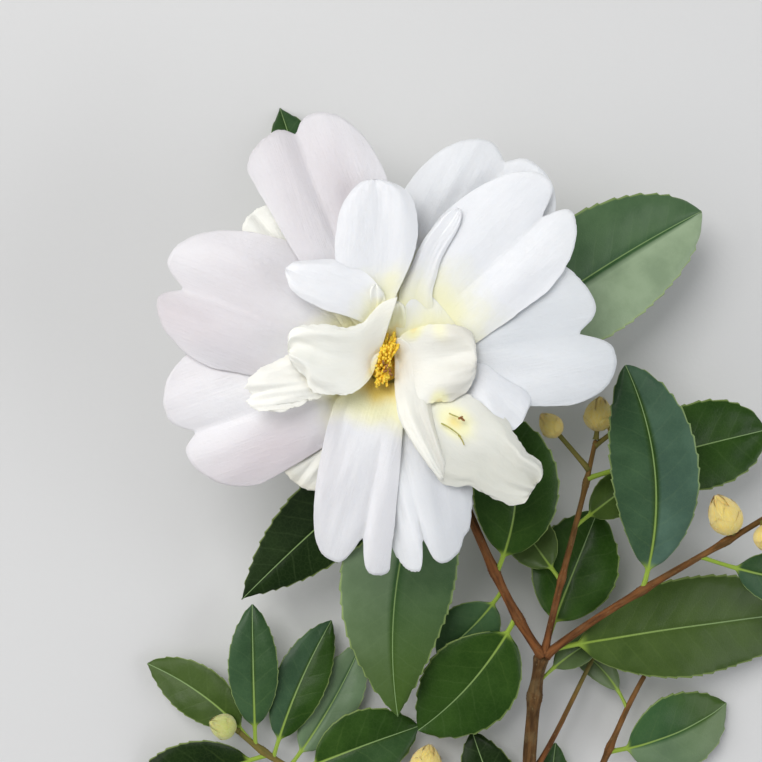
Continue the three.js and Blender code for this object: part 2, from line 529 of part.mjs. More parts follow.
/** A shape turned about the vertical axis from radius and height pairs. */
function turnedGeometry(profile, sides) {
  const corners = profile.map(([radius, height]) => new THREE.Vector2(radius, height));
  const geometry = new THREE.LatheGeometry(corners, sides);
  geometry.rotateX(Math.PI / 2);
  return geometry;
}

/** A scaly bud: an egg turned about its axis, on a short stalk. */
function budSolid(bud, grow) {
  const stalk = BUD_STALK_RADIUS + grow;
  const profile = [[0, -bud.gap], [stalk, -bud.gap], [stalk, BUD_STALK_SUNK]];
  for (const k of BUD_STATIONS) {
    const radius = (bud.width / 2) * Math.sin(Math.PI * k ** BUD_FULLEST) ** BUD_BLUNTNESS;
    profile.push([radius + grow, k * bud.length]);
  }
  profile.push([0, bud.length + grow]);
  const geometry = turnedGeometry(profile, BUD_SIDES);
  const axis = new THREE.Vector3(...bud.towards).normalize();
  const foot = limbCurve(LIMBS[bud.on]).getPoint(bud.at).addScaledVector(axis, bud.gap);
  geometry.applyQuaternion(new THREE.Quaternion().setFromUnitVectors(UP, axis));
  geometry.translate(...foot.toArray());
  return toSolid(geometry);
}

/** The cup of scales under the bloom and the short column that carries the petals. */
function calyxSolid() {
  const rim = BLOOM_BASE_HEIGHT - CALYX_RIM_DEPTH;
  return toSolid(turnedGeometry([
    [0, CALYX_FOOT_HEIGHT], ...CALYX_CUP, [CALYX_RIM_RADIUS, rim],
    [COLUMN_RADIUS, rim + CALYX_LIP], [COLUMN_RADIUS, COLUMN_TOP], [0, COLUMN_TOP],
  ], ROUND_SIDES));
}

/** The tuft of stamens in the throat, on one low disc. */
function stamenSolid() {
  const foot = COLUMN_TOP + CLEARANCE + STAMENS.disc / 2;
  const disc = new THREE.CylinderGeometry(STAMENS.discRadius, STAMENS.discRadius, STAMENS.disc, ROUND_SIDES);
  disc.rotateX(Math.PI / 2);
  disc.translate(0, 0, foot);
  let tuft = toSolid(disc);
  for (const [x, y] of STAMENS.ends) {
    const start = new THREE.Vector3(x * STAMENS.gathered, y * STAMENS.gathered, foot);
    const end = new THREE.Vector3(x, y, foot + STAMENS.height);
    const axis = end.clone().sub(start);
    const filament = new THREE.CylinderGeometry(STAMENS.filament, STAMENS.filament, axis.length(), 5);
    filament.translate(0, axis.length() / 2, 0);
    filament.applyQuaternion(new THREE.Quaternion().setFromUnitVectors(Y_AXIS, axis.normalize()));
    filament.translate(...start.toArray());
    const anther = new THREE.SphereGeometry(STAMENS.anther, 6, 4);
    anther.translate(...end.toArray());
    tuft = tuft.add(toSolid(filament)).add(toSolid(anther));
  }
  return tuft;
}

/** Every body of the branch by name, with the colour it takes. */
function buildBodies() {
  const bodies = [];
  const grownLimbs = [];
  for (const [name, limb] of Object.entries(LIMBS)) {
    bodies.push({ name, colour: limb.colour, solid: cutClear(limbSolid(limb, 0), grownLimbs) });
    grownLimbs.push(limbSolid(limb, CLEARANCE));
  }
  const grownBuds = BUDS.map((bud) => budSolid(bud, CLEARANCE));
  for (const bud of BUDS) {
    bodies.push({ name: bud.name, colour: bud.colour, solid: cutClear(budSolid(bud, 0), grownLimbs) });
  }
  const inTheWay = [...grownLimbs, ...grownBuds];
  for (const leaf of LEAVES) {
    bodies.push({ name: leaf.name, colour: leaf.colour, solid: cutClear(leafSolid(leaf), inTheWay) });
  }
  for (const petal of PETALS) {
    bodies.push({ name: petal.name, colour: petal.colour, solid: petalSolid(petal) });
  }
  for (const petal of BENT_PETALS) {
    bodies.push({ name: petal.name, colour: petal.colour, solid: bentPetalSolid(petal) });
  }
  bodies.push({ name: "calyx", colour: "calyx", solid: cutClear(calyxSolid(), grownLimbs) });
  bodies.push({ name: "stamens", colour: "stamen", solid: stamenSolid() });
  return bodies.map((body) => ({ ...body, solid: body.solid.trimByPlane([0, 0, 1], 0) }));
}

/** The scene graph: one mesh for each body, about the centre of the footprint. */
function buildBranch() {
  const branch = new THREE.Group();
  for (const { name, colour, solid } of buildBodies()) {
    const woody = colour.endsWith("bark");
    const material = new THREE.MeshStandardMaterial({
      color: COLOURS[colour],
      roughness: woody ? 0.8 : 0.45,
      metalness: 0,
    });
    const mesh = new THREE.Mesh(toGeometry(solid), material);
    mesh.name = name;
    branch.add(mesh);
  }
  const box = new THREE.Box3().setFromObject(branch);
  const centre = box.getCenter(new THREE.Vector3());
  branch.position.set(-centre.x, -centre.y, -box.min.z);
  branch.updateMatrixWorld(true);
  return branch;
}

const group = buildBranch();
export default group;
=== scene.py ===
"""Looks of a cut flowering camellia branch that lies on a pale floor, seen from straight above.

Every size is in millimetres, laid out from the throat of the bloom with +Y from the cut end towards
the bloom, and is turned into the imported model's metres where a mesh is made.
"""

import logging
import math
import zlib
from dataclasses import dataclass, field
from enum import Enum

import bpy
import numpy as np
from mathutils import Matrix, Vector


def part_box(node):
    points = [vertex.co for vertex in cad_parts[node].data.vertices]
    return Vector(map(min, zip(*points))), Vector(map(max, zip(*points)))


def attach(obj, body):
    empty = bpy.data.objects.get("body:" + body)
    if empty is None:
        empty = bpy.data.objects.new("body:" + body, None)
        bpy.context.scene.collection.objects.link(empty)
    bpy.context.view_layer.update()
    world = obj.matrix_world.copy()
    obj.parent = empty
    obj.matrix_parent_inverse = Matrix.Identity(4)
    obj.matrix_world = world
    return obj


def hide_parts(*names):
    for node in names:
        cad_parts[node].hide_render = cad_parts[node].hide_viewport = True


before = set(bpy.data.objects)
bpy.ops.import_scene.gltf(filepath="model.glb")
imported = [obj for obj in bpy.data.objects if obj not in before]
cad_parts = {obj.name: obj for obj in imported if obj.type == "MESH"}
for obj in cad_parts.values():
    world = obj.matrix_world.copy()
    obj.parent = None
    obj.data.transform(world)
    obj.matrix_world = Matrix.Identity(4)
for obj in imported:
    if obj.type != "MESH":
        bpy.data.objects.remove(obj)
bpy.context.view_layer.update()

log = logging.getLogger("camellia")

METRES = 0.001
UP = np.array([0.0, 0.0, 1.0])
GOLDEN_ANGLE = math.radians(137.5)
MEASURING_STEPS = 60
Array = np.ndarray
Point = tuple[float, float, float]
Spot = tuple[float, float]
Colour = tuple[float, float, float]
Sockets = dict[str, bpy.types.NodeSocket]


class LeafTone(Enum):
    """The greens that the leaves come in, by the name of the model's material slot."""

    DARK = "leaf_dark"
    MID = "leaf_mid"
    BLUE = "leaf_blue"
    OLIVE = "leaf_olive"


class Bark(Enum):
    """Old grey-brown bark and young red-brown bark, by the name of the model's material slot."""

    OLD = "old_bark"
    YOUNG = "young_bark"


class PetalTone(Enum):
    """White and cream petals, by the name of the model's material slot."""

    WHITE = "petal_white"
    CREAM = "petal_cream"


class BudTone(Enum):
    """Green and cream buds, by the name of the model's material slot."""

    GREEN = "bud_green"
    CREAM = "bud_cream"


def seed_of(name: str) -> int:
    """Return a fixed random seed for a name."""
    return zlib.crc32(name.encode())


def ease(low: float, high: float, value: Array) -> Array:
    """Rise smoothly from 0 to 1 between two values.

    Args:
        low: Where the rise starts. It may lie above high, and the curve then falls.
        high: Where the rise ends.
        value: The values to look up.

    Returns:
        The height of the curve at each value.
    """
    share = np.clip((value - low) / (high - low), 0.0, 1.0)
    return share * share * (3.0 - 2.0 * share)


def unit(vectors: Array) -> Array:
    """Return vectors scaled to a length of one."""
    return vectors / np.maximum(np.linalg.norm(vectors, axis=-1, keepdims=True), 1e-12)


def stacked(*parts: Array | float) -> Array:
    """Return vectors made of the given parts, point by point."""
    return np.stack(np.broadcast_arrays(*parts), axis=-1)


def line_length(places: Array) -> float:
    """Return the length of a line through places, one a row."""
    return float(np.linalg.norm(np.diff(places, axis=0), axis=1).sum())


def smooth_line(corners: Array, steps: Array) -> Array:
    """Return places on a smooth line through given corners.

    Args:
        corners: Places that the line runs through, one a row.
        steps: Shares of its length, 0 at its start and 1 at its end.

    Returns:
        The places, one a row.
    """
    gaps = np.linalg.norm(np.diff(corners, axis=0), axis=1)
    marks = np.concatenate([[0.0], np.cumsum(gaps)]) / gaps.sum()
    slopes = np.gradient(corners, marks, axis=0)
    index = np.clip(np.searchsorted(marks, steps, side="right") - 1, 0, len(marks) - 2)
    span = (marks[index + 1] - marks[index])[:, None]
    t = (steps - marks[index])[:, None] / span
    start = (1.0 + 2.0 * t) * (1.0 - t) ** 2 * corners[index] + t * (1.0 - t) ** 2 * span * slopes[index]
    end = t**2 * (3.0 - 2.0 * t) * corners[index + 1] - t**2 * (1.0 - t) * span * slopes[index + 1]
    return start + end


def swells(across: Array, along: Array, seed: int, slowest: float, quickest: float) -> Array:
    """Sum a few slanting sine waves into smooth, random-looking swells.

    Args:
        across: Sideways place of each point, about -1 to 1.
        along: Lengthwise place of each point, 0 to 1.
        seed: Fixes the waves.
        slowest: Fewest waves over a unit of place.
        quickest: Most waves over a unit of place.

    Returns:
        Heights of about -1 to 1.
    """
    rng = np.random.default_rng(seed)
    wave_count = 7
    total = np.zeros(np.broadcast(across, along).shape)
    for _ in range(wave_count):
        turns = rng.uniform(slowest, quickest, 2) * rng.choice([-1.0, 1.0], 2)
        phase = rng.uniform(0.0, 2.0 * math.pi)
        total += np.sin(2.0 * math.pi * (turns[0] * across + turns[1] * along) + phase)
    return total / math.sqrt(wave_count)


@dataclass(frozen=True)
class Bench:
    """Where the bloom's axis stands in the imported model, in metres."""

    throat_x: float
    throat_y: float

    @classmethod
    def under_the_bloom(cls) -> "Bench":
        """Find the bloom's axis in the middle of the calyx."""
        low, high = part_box("calyx")
        return cls((low.x + high.x) / 2, (low.y + high.y) / 2)

    def metres(self, points: Array) -> Array:
        """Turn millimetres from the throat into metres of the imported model.

        Args:
            points: Places in millimetres, in the last axis.

        Returns:
            The same places in metres.
        """
        return points * METRES + np.array([self.throat_x, self.throat_y, 0.0])


@dataclass
class Patch:
    """Part of a mesh, with what its finish reads at each point.

    points are in millimetres from the throat. grain is a place in millimetres on the flattened part,
    which textures follow. marks are named numbers, and slots says which finish each face takes.
    """

    points: Array
    faces: list[list[int]]
    grain: Array
    marks: dict[str, Array] = field(default_factory=dict)
    slots: list[int] = field(default_factory=list)


def grid_quads(rows: int, columns: int, first: int = 0) -> Array:
    """List the quads of a grid of points, facing up where rows run forward and columns to the right.

    Args:
        rows: Count of rows.
        columns: Count of columns.
        first: Number of the grid's first point.

    Returns:
        Four point numbers for each quad.
    """
    number = first + np.arange(rows * columns).reshape(rows, columns)
    corners = (number[:-1, :-1], number[:-1, 1:], number[1:, 1:], number[1:, :-1])
    return np.stack(corners, axis=-1).reshape(-1, 4)


def closed_sheet(upper: Array, lower: Array, grain: Array, marks: dict[str, Array],
                 under_slot: int = 1) -> Patch:
    """Close a thin sheet between an upper and a lower grid of points.

    Args:
        upper: Points of the upper face, by row and column.
        lower: Points of the lower face.
        grain: Place on the flattened sheet, by row and column.
        marks: Named numbers, by row and column or the same all along one of them.
        under_slot: Finish of the lower face. The upper face and the rim take finish 0.

    Returns:
        The closed sheet.
    """
    rows, columns = upper.shape[:2]
    count = rows * columns
    top = grid_quads(rows, columns)
    under = grid_quads(rows, columns, count)[:, ::-1]
    number = np.arange(count).reshape(rows, columns)
    loop = np.concatenate([number[0, :-1], number[:-1, -1], number[-1, :0:-1], number[:0:-1, 0]])
    after = np.roll(loop, -1)
    rim = np.stack([loop, loop + count, after + count, after], axis=-1)
    faces = np.concatenate([top, under, rim]).tolist()
    slots = [0] * len(top) + [under_slot] * len(under) + [0] * len(rim)
    doubled = {name: np.tile(np.broadcast_to(values, (rows, columns)).ravel(), 2)
               for name, values in marks.items()}
    points = np.concatenate([upper.reshape(-1, 3), lower.reshape(-1, 3)])
    return Patch(points, faces, np.tile(grain.reshape(-1, 3), (2, 1)), doubled, slots)


def tube(centres: Array, radii: Array, sides: int, lengths: Array, caps: tuple[int, int] = (0, 0)) -> Patch:
    """Loft a round tube along a line of centres, closed at both ends.

    Args:
        centres: Middle of each ring.
        radii: Radius of each point, by ring and side, or by ring alone.
        sides: Points in a ring.
        lengths: Distance of each ring along the tube.
        caps: Finish of the flat faces at the start and at the end.

    Returns:
        The tube. Its grain is the place on the tube as if it were straight.
    """
    rings = len(centres)
    along = unit(np.gradient(centres, axis=0))
    side = unit(np.cross(UP, along) + np.array([1e-9, 0.0, 0.0]))
    top = np.cross(along, side)
    angle = np.arange(sides) * 2.0 * math.pi / sides
    radius = np.broadcast_to(radii.reshape(rings, -1), (rings, sides))
    cosine = (radius * np.cos(angle))[..., None]
    sine = (radius * np.sin(angle))[..., None]
    points = centres[:, None] + cosine * side[:, None] + sine * top[:, None]
    grain = np.concatenate([cosine, sine, np.broadcast_to(lengths[:, None, None], cosine.shape)], axis=-1)
    number = np.arange(rings * sides).reshape(rings, sides)
    ahead = np.roll(number, -1, axis=1)
    wall = np.stack([number[:-1], ahead[:-1], ahead[1:], number[1:]], axis=-1).reshape(-1, 4).tolist()
    faces = wall + [number[0, ::-1].tolist(), number[-1].tolist()]
    slots = [0] * len(wall) + list(caps)
    return Patch(points.reshape(-1, 3), faces, grain.reshape(-1, 3), {}, slots)


@dataclass
class Workshop:
    """Makes pieces from patches, dresses them and puts them on the branch."""

    bench: Bench

    def make_piece(self, name: str, patches: list[Patch], finishes: list[bpy.types.Material],
                   replaces: str | None = None, slot: str | None = None) -> bpy.types.Object:
        """Join patches into one smooth piece that rides on the branch.

        Args:
            name: The piece's name.
            patches: Its parts.
            finishes: Materials that the patches' slots count through.
            replaces: The node of the model that the piece stands for.
            slot: The model's material slot that the piece stands for; not used.

        Returns:
            The piece.
        """
        mesh = self._mesh(name, patches)
        for finish in finishes:
            mesh.materials.append(finish)
        piece = bpy.data.objects.new(name, mesh)
        bpy.context.scene.collection.objects.link(piece)
        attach(piece, "root")
        if replaces:
            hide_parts(replaces)
        log.info("%s: %d faces", name, len(mesh.polygons))
        return piece

    def _mesh(self, name: str, patches: list[Patch]) -> bpy.types.Mesh:
        """Build the mesh of a piece with its grain and marks.

        Args:
            name: The mesh's name.
            patches: Its parts.

        Returns:
            The mesh.
        """
        faces: list[list[int]] = []
        slots: list[int] = []
        first = 0
        for patch in patches:
            faces += [[first + number for number in face] for face in patch.faces]
            slots += patch.slots or [0] * len(patch.faces)
            first += len(patch.points)
        points = self.bench.metres(np.concatenate([patch.points for patch in patches]))
        mesh = bpy.data.meshes.new(name)
        mesh.from_pydata(points.tolist(), [], faces)
        mesh.polygons.foreach_set("material_index", slots)
        mesh.polygons.foreach_set("use_smooth", [True] * len(faces))
        grain = np.concatenate([patch.grain for patch in patches]).astype(np.float32)
        mesh.attributes.new("grain", "FLOAT_VECTOR", "POINT").data.foreach_set("vector", grain.ravel())
        for mark in sorted({mark for patch in patches for mark in patch.marks}):
            values = [patch.marks.get(mark, np.zeros(len(patch.points))) for patch in patches]
            data = mesh.attributes.new(mark, "FLOAT", "POINT").data
            data.foreach_set("value", np.concatenate(values).astype(np.float32))
        mesh.update()
        return mesh


class NodeDesk:
    """Adds shader nodes to one tree and joins them."""

    def __init__(self, tree: bpy.types.NodeTree) -> None:
        """Keep the tree that nodes are added to."""
        self.tree = tree

    def add(self, kind: str, inputs: dict[str | int, object] | None = None,
            **settings: object) -> bpy.types.Node:
        """Add a node.

        Args:
            kind: Blender's name of the node type, without its ShaderNode prefix.
            inputs: Sockets or constant values for the node's inputs.
            **settings: The node's own settings.

        Returns:
            The new node.
        """
        node = self.tree.nodes.new("ShaderNode" + kind)
        for name, setting in settings.items():
            setattr(node, name, setting)
        for key, value in (inputs or {}).items():
            self.feed(node.inputs[key], value)
        return node

    def feed(self, socket: bpy.types.NodeSocket, value: object) -> None:
        """Link an output to a socket, or set the socket to a constant.

        Args:
            socket: The input that takes the value.
            value: An output's socket, or a constant.
        """
        if isinstance(value, bpy.types.NodeSocket):
            self.tree.links.new(value, socket)
        elif socket.type == "RGBA":
            socket.default_value = (*value, 1.0)
        else:
            socket.default_value = value

    def mark(self, name: str) -> bpy.types.NodeSocket:
        """Return the number that a mesh carries under a name."""
        return self.add("Attribute", attribute_name=name, attribute_type="GEOMETRY").outputs["Fac"]

    def grain(self) -> bpy.types.NodeSocket:
        """Return the place on the flattened part, in millimetres."""
        return self.add("Attribute", attribute_name="grain", attribute_type="GEOMETRY").outputs["Vector"]

    def maths(self, operation: str, *values: object, clamp: bool = False) -> bpy.types.NodeSocket:
        """Work out one number from others.

        Args:
            operation: Blender's name of the operation.
            *values: Sockets or numbers.
            clamp: Whether to keep the result from 0 to 1.

        Returns:
            The result's socket.
        """
        node = self.add("Math", dict(enumerate(values)), operation=operation, use_clamp=clamp)
        return node.outputs[0]

    def stretch(self, vector: object, factors: object) -> bpy.types.NodeSocket:
        """Multiply a vector by another, part by part."""
        return self.add("VectorMath", {0: vector, 1: factors}, operation="MULTIPLY").outputs[0]

    def remap(self, value: object, start: object, end: object, low: float = 0.0,
              high: float = 1.0) -> bpy.types.NodeSocket:
        """Ease a number from one range into another.

        Args:
            value: The number's socket.
            start: Where the old range starts.
            end: Where the old range ends.
            low: The result at start.
            high: The result at end.

        Returns:
            The result's socket.
        """
        inputs = {"Value": value, "From Min": start, "From Max": end, "To Min": low, "To Max": high}
        return self.add("MapRange", inputs, interpolation_type="SMOOTHSTEP").outputs[0]

    def blend(self, share: object, low: object, high: object) -> bpy.types.NodeSocket:
        """Mix two colours.

        Args:
            share: How much of the second colour to take.
            low: The first colour.
            high: The second colour.

        Returns:
            The mixed colour's socket.
        """
        node = self.add("Mix", data_type="RGBA")
        self.feed(node.inputs[0], share)
        self.feed(node.inputs[6], low)
        self.feed(node.inputs[7], high)
        return node.outputs[2]

    def noise(self, place: object, scale: object, detail: float = 3.0,
              roughness: float = 0.5) -> bpy.types.NodeSocket:
        """Return soft noise of 0 to 1 at a place."""
        inputs = {"Vector": place, "Scale": scale, "Detail": detail, "Roughness": roughness}
        return self.add("TexNoise", inputs).outputs[0]

    def group(self, tree: bpy.types.NodeTree, inputs: dict[str, object]) -> bpy.types.Node:
        """Place a node group and feed its inputs.

        Args:
            tree: The group.
            inputs: Sockets or constant values for its inputs.

        Returns:
            The group's node.
        """
        node = self.tree.nodes.new("ShaderNodeGroup")
        node.node_tree = tree
        for name, value in inputs.items():
            self.feed(node.inputs[name], value)
        return node


class Effects:
    """The effects that several finishes share, each a node group that is built once."""

    def __init__(self) -> None:
        """Build the groups."""
        self.mottle = self._build_mottle()
        self.streaks = self._build_streaks()
        self.veins = self._build_veins()

    @staticmethod
    def _new_group(name: str, inputs: dict[str, tuple[str, object]],
                   outputs: tuple[str, ...]) -> tuple[bpy.types.NodeTree, NodeDesk, Sockets, bpy.types.Node]:
        """Make an empty node group.

        Args:
            name: The group's name.
            inputs: Socket type and starting value of each input.
            outputs: Names of the number outputs.

        Returns:
            The group, a desk for its nodes, its input sockets by name, and its output node.
        """
        tree = bpy.data.node_groups.new(name, "ShaderNodeTree")
        for label, (kind, value) in inputs.items():
            socket = tree.interface.new_socket(label, in_out="INPUT", socket_type="NodeSocket" + kind)
            if value is not None:
                socket.default_value = value
        for label in outputs:
            tree.interface.new_socket(label, in_out="OUTPUT", socket_type="NodeSocketFloat")
        entry = tree.nodes.new("NodeGroupInput")
        leave = tree.nodes.new("NodeGroupOutput")
        return tree, NodeDesk(tree), {label: entry.outputs[label] for label in inputs}, leave

    def _build_mottle(self) -> bpy.types.NodeTree:
        """Build cloudy patches with a finer speckle over them.

        Returns:
            The node group.
        """
        inputs = {"Place": ("Vector", None), "Patches a mm": ("Float", 0.2), "Contrast": ("Float", 1.0)}
        tree, desk, given, leave = self._new_group("mottle", inputs, ("Patches", "Speckle"))
        clouds = desk.noise(given["Place"], given["Patches a mm"], 4.0, 0.55)
        centred = desk.maths("SUBTRACT", clouds, 0.5)
        spread = desk.maths("MULTIPLY", centred, given["Contrast"])
        desk.feed(leave.inputs["Patches"], desk.maths("MULTIPLY_ADD", spread, 2.2, 0.5, clamp=True))
        finer = desk.maths("MULTIPLY", given["Patches a mm"], 14.0)
        specks = desk.noise(given["Place"], finer, 2.0, 0.6)
        desk.feed(leave.inputs["Speckle"], desk.remap(specks, 0.55, 0.75))
        return tree

    def _build_streaks(self) -> bpy.types.NodeTree:
        """Build lines that run along a petal, a scale or a stem.

        Returns:
            The node group.
        """
        inputs = {"Place": ("Vector", None), "Lines a mm": ("Float", 1.0), "Length in mm": ("Float", 8.0)}
        tree, desk, given, leave = self._new_group("lengthwise_streaks", inputs, ("Streaks", "Fine streaks"))
        along = desk.maths("DIVIDE", 1.0, given["Length in mm"])
        lines = given["Lines a mm"]
        factors = desk.add("CombineXYZ", {0: lines, 1: lines, 2: along}).outputs[0]
        place = desk.stretch(given["Place"], factors)
        desk.feed(leave.inputs["Streaks"], desk.remap(desk.noise(place, 1.0, 2.0), 0.3, 0.7))
        desk.feed(leave.inputs["Fine streaks"], desk.remap(desk.noise(place, 2.7, 3.0, 0.6), 0.3, 0.7))
        return tree

    def _build_veins(self) -> bpy.types.NodeTree:
        """Build a leaf's midrib, its slanting side veins and the net between them.

        Returns:
            The node group.
        """
        inputs = {"Place": ("Vector", None), "Pitch in mm": ("Float", Leaf.VEIN_PITCH),
                  "Slant": ("Float", Leaf.VEIN_SLANT), "Midrib in mm": ("Float", 0.32)}
        tree, desk, given, leave = self._new_group("leaf_veins", inputs, ("Midrib", "Veins", "Net"))
        wobble = desk.maths("MULTIPLY_ADD", desk.noise(given["Place"], 0.22, 2.0), 1.7, -0.85)
        parts = desk.add("SeparateXYZ", {0: given["Place"]})
        sideways = desk.maths("ABSOLUTE", parts.outputs[0])
        desk.feed(leave.inputs["Midrib"], desk.remap(sideways, given["Midrib in mm"], 0.05))
        slanted = desk.maths("MULTIPLY", sideways, given["Slant"])
        back = desk.maths("SUBTRACT", parts.outputs[2], slanted)
        phase = desk.maths("DIVIDE", desk.maths("ADD", back, wobble), given["Pitch in mm"])
        distance = desk.maths("PINGPONG", phase, 0.5)
        veins = desk.remap(distance, 0.075, 0.01)
        away = desk.remap(sideways, 9.0, 3.0, 0.35, 1.0)
        desk.feed(leave.inputs["Veins"], desk.maths("MULTIPLY", veins, away))
        cells = desk.add("TexVoronoi", {"Vector": given["Place"], "Scale": 0.95, "Randomness": 1.0},
                         feature="DISTANCE_TO_EDGE")
        desk.feed(leave.inputs["Net"], desk.remap(cells.outputs["Distance"], 0.12, 0.0))
        return tree


class Finish:
    """A material with its desk and its Principled shader."""

    def __init__(self, name: str, constants: dict[str, object]) -> None:
        """Make the material.

        Args:
            name: The material's name.
            constants: Shader inputs that are the same all over the surface.
        """
        self.material = bpy.data.materials.new(name)
        self.material.use_nodes = True
        self.desk = NodeDesk(self.material.node_tree)
        self.shader = self.material.node_tree.nodes["Principled BSDF"]
        for label, value in constants.items():
            self.desk.feed(self.shader.inputs[label], value)

    def set(self, label: str, value: object) -> None:
        """Feed one input of the shader."""
        self.desk.feed(self.shader.inputs[label], value)

    def bump(self, height: object, depth_mm: float, normal: object | None = None) -> bpy.types.NodeSocket:
        """Raise the surface by a height of 0 to 1.

        Args:
            height: The height's socket.
            depth_mm: How high a height of 1 stands, in millimetres.
            normal: An earlier bump's normal to build on.

        Returns:
            The new normal, which is also fed to the shader.
        """
        node = self.desk.add("Bump", {"Strength": 1.0, "Distance": depth_mm * METRES, "Height": height})
        if normal is not None:
            self.desk.feed(node.inputs["Normal"], normal)
        self.set("Normal", node.outputs[0])
        return node.outputs[0]


@dataclass(frozen=True)
class LeafFinish:
    """The glossy upper face of a leaf."""

    name: str
    deep: Colour
    light: Colour
    rib: Colour = (0.20, 0.30, 0.13)
    rib_base: Colour = (0.24, 0.35, 0.045)
    # colour of the painted sheen, which stands in for the lights mirrored on the glossy blade
    wax: Colour = (0.36, 0.46, 0.30)
    rim: Colour = (0.36, 0.47, 0.15)
    olive: Colour = (0.045, 0.090, 0.010)
    gloss: float = 0.2
    veining: float = 0.04

    def build(self, effects: Effects) -> bpy.types.Material:
        """Build the material.

        Args:
            effects: The shared node groups.

        Returns:
            The material.
        """
        constants = {"IOR": 1.4, "Specular IOR Level": self.gloss, "Coat Weight": 0.04,
                     "Coat Roughness": 0.12}
        finish = Finish(self.name, constants)
        desk = finish.desk
        place = desk.grain()
        mottle = desk.group(effects.mottle, {"Place": place, "Patches a mm": 0.13, "Contrast": 1.3})
        veins = desk.group(effects.veins, {"Place": place, "Midrib in mm": desk.mark("rib")})
        rib = desk.blend(desk.mark("base"), self.rib, self.rib_base)
        green = desk.blend(mottle.outputs["Patches"], self.deep, self.light)
        green = desk.blend(desk.mark("ripe"), green, self.olive)
        speckle = desk.maths("MULTIPLY", mottle.outputs["Speckle"], 0.22)
        green = desk.blend(speckle, green, self.light)
        side = desk.maths("MULTIPLY", veins.outputs["Veins"], self.veining)
        green = desk.blend(side, green, rib)
        net = desk.maths("MULTIPLY", veins.outputs["Net"], 0.025)
        green = desk.blend(net, green, rib)
        # painted sheen: the blade's halves are paled towards the mirrored lights' colour, in soft clouds
        cloudy = desk.remap(mottle.outputs["Patches"], 0.0, 1.0, 0.75, 1.0)
        green = desk.blend(desk.maths("MULTIPLY", desk.mark("wax"), cloudy), green, self.wax)
        green = desk.blend(veins.outputs["Midrib"], green, rib)
        green = desk.blend(desk.remap(desk.mark("rim"), 0.95, 0.985, 0.0, 0.45), green, self.rim)
        green = desk.blend(desk.mark("stalk"), green, rib)
        finish.set("Base Color", green)
        finish.set("Roughness", desk.remap(mottle.outputs["Patches"], 0.0, 1.0, 0.30, 0.42))
        pores = desk.noise(place, 3.2, 2.0)
        normal = finish.bump(pores, 0.035)
        sunk = desk.maths("MULTIPLY_ADD", veins.outputs["Net"], -0.25, 1.0)
        lines = desk.maths("SUBTRACT", sunk, veins.outputs["Veins"])
        finish.bump(lines, 0.010, normal)
        return finish.material


@dataclass(frozen=True)
class LeafUnderFinish:
    """The pale, dull underside of a leaf."""

    name: str = "leaf_underside"
    deep: Colour = (0.11, 0.18, 0.06)
    light: Colour = (0.17, 0.25, 0.09)
    rib: Colour = (0.33, 0.42, 0.15)

    def build(self, effects: Effects) -> bpy.types.Material:
        """Build the material.

        Args:
            effects: The shared node groups.

        Returns:
            The material.
        """
        finish = Finish(self.name, {"IOR": 1.42})
        desk = finish.desk
        place = desk.grain()
        mottle = desk.group(effects.mottle, {"Place": place, "Patches a mm": 0.2, "Contrast": 1.0})
        veins = desk.group(effects.veins, {"Place": place, "Midrib in mm": 0.75})
        green = desk.blend(mottle.outputs["Patches"], self.deep, self.light)
        net = desk.maths("MULTIPLY", veins.outputs["Net"], 0.3)
        lines = desk.maths("MAXIMUM", veins.outputs["Veins"], net)
        green = desk.blend(lines, green, self.rib)
        green = desk.blend(veins.outputs["Midrib"], green, self.rib)
        green = desk.blend(desk.mark("stalk"), green, self.rib)
        finish.set("Base Color", green)
        finish.set("Roughness", desk.remap(mottle.outputs["Speckle"], 0.0, 1.0, 0.55, 0.7))
        finish.bump(lines, 0.08)
        return finish.material


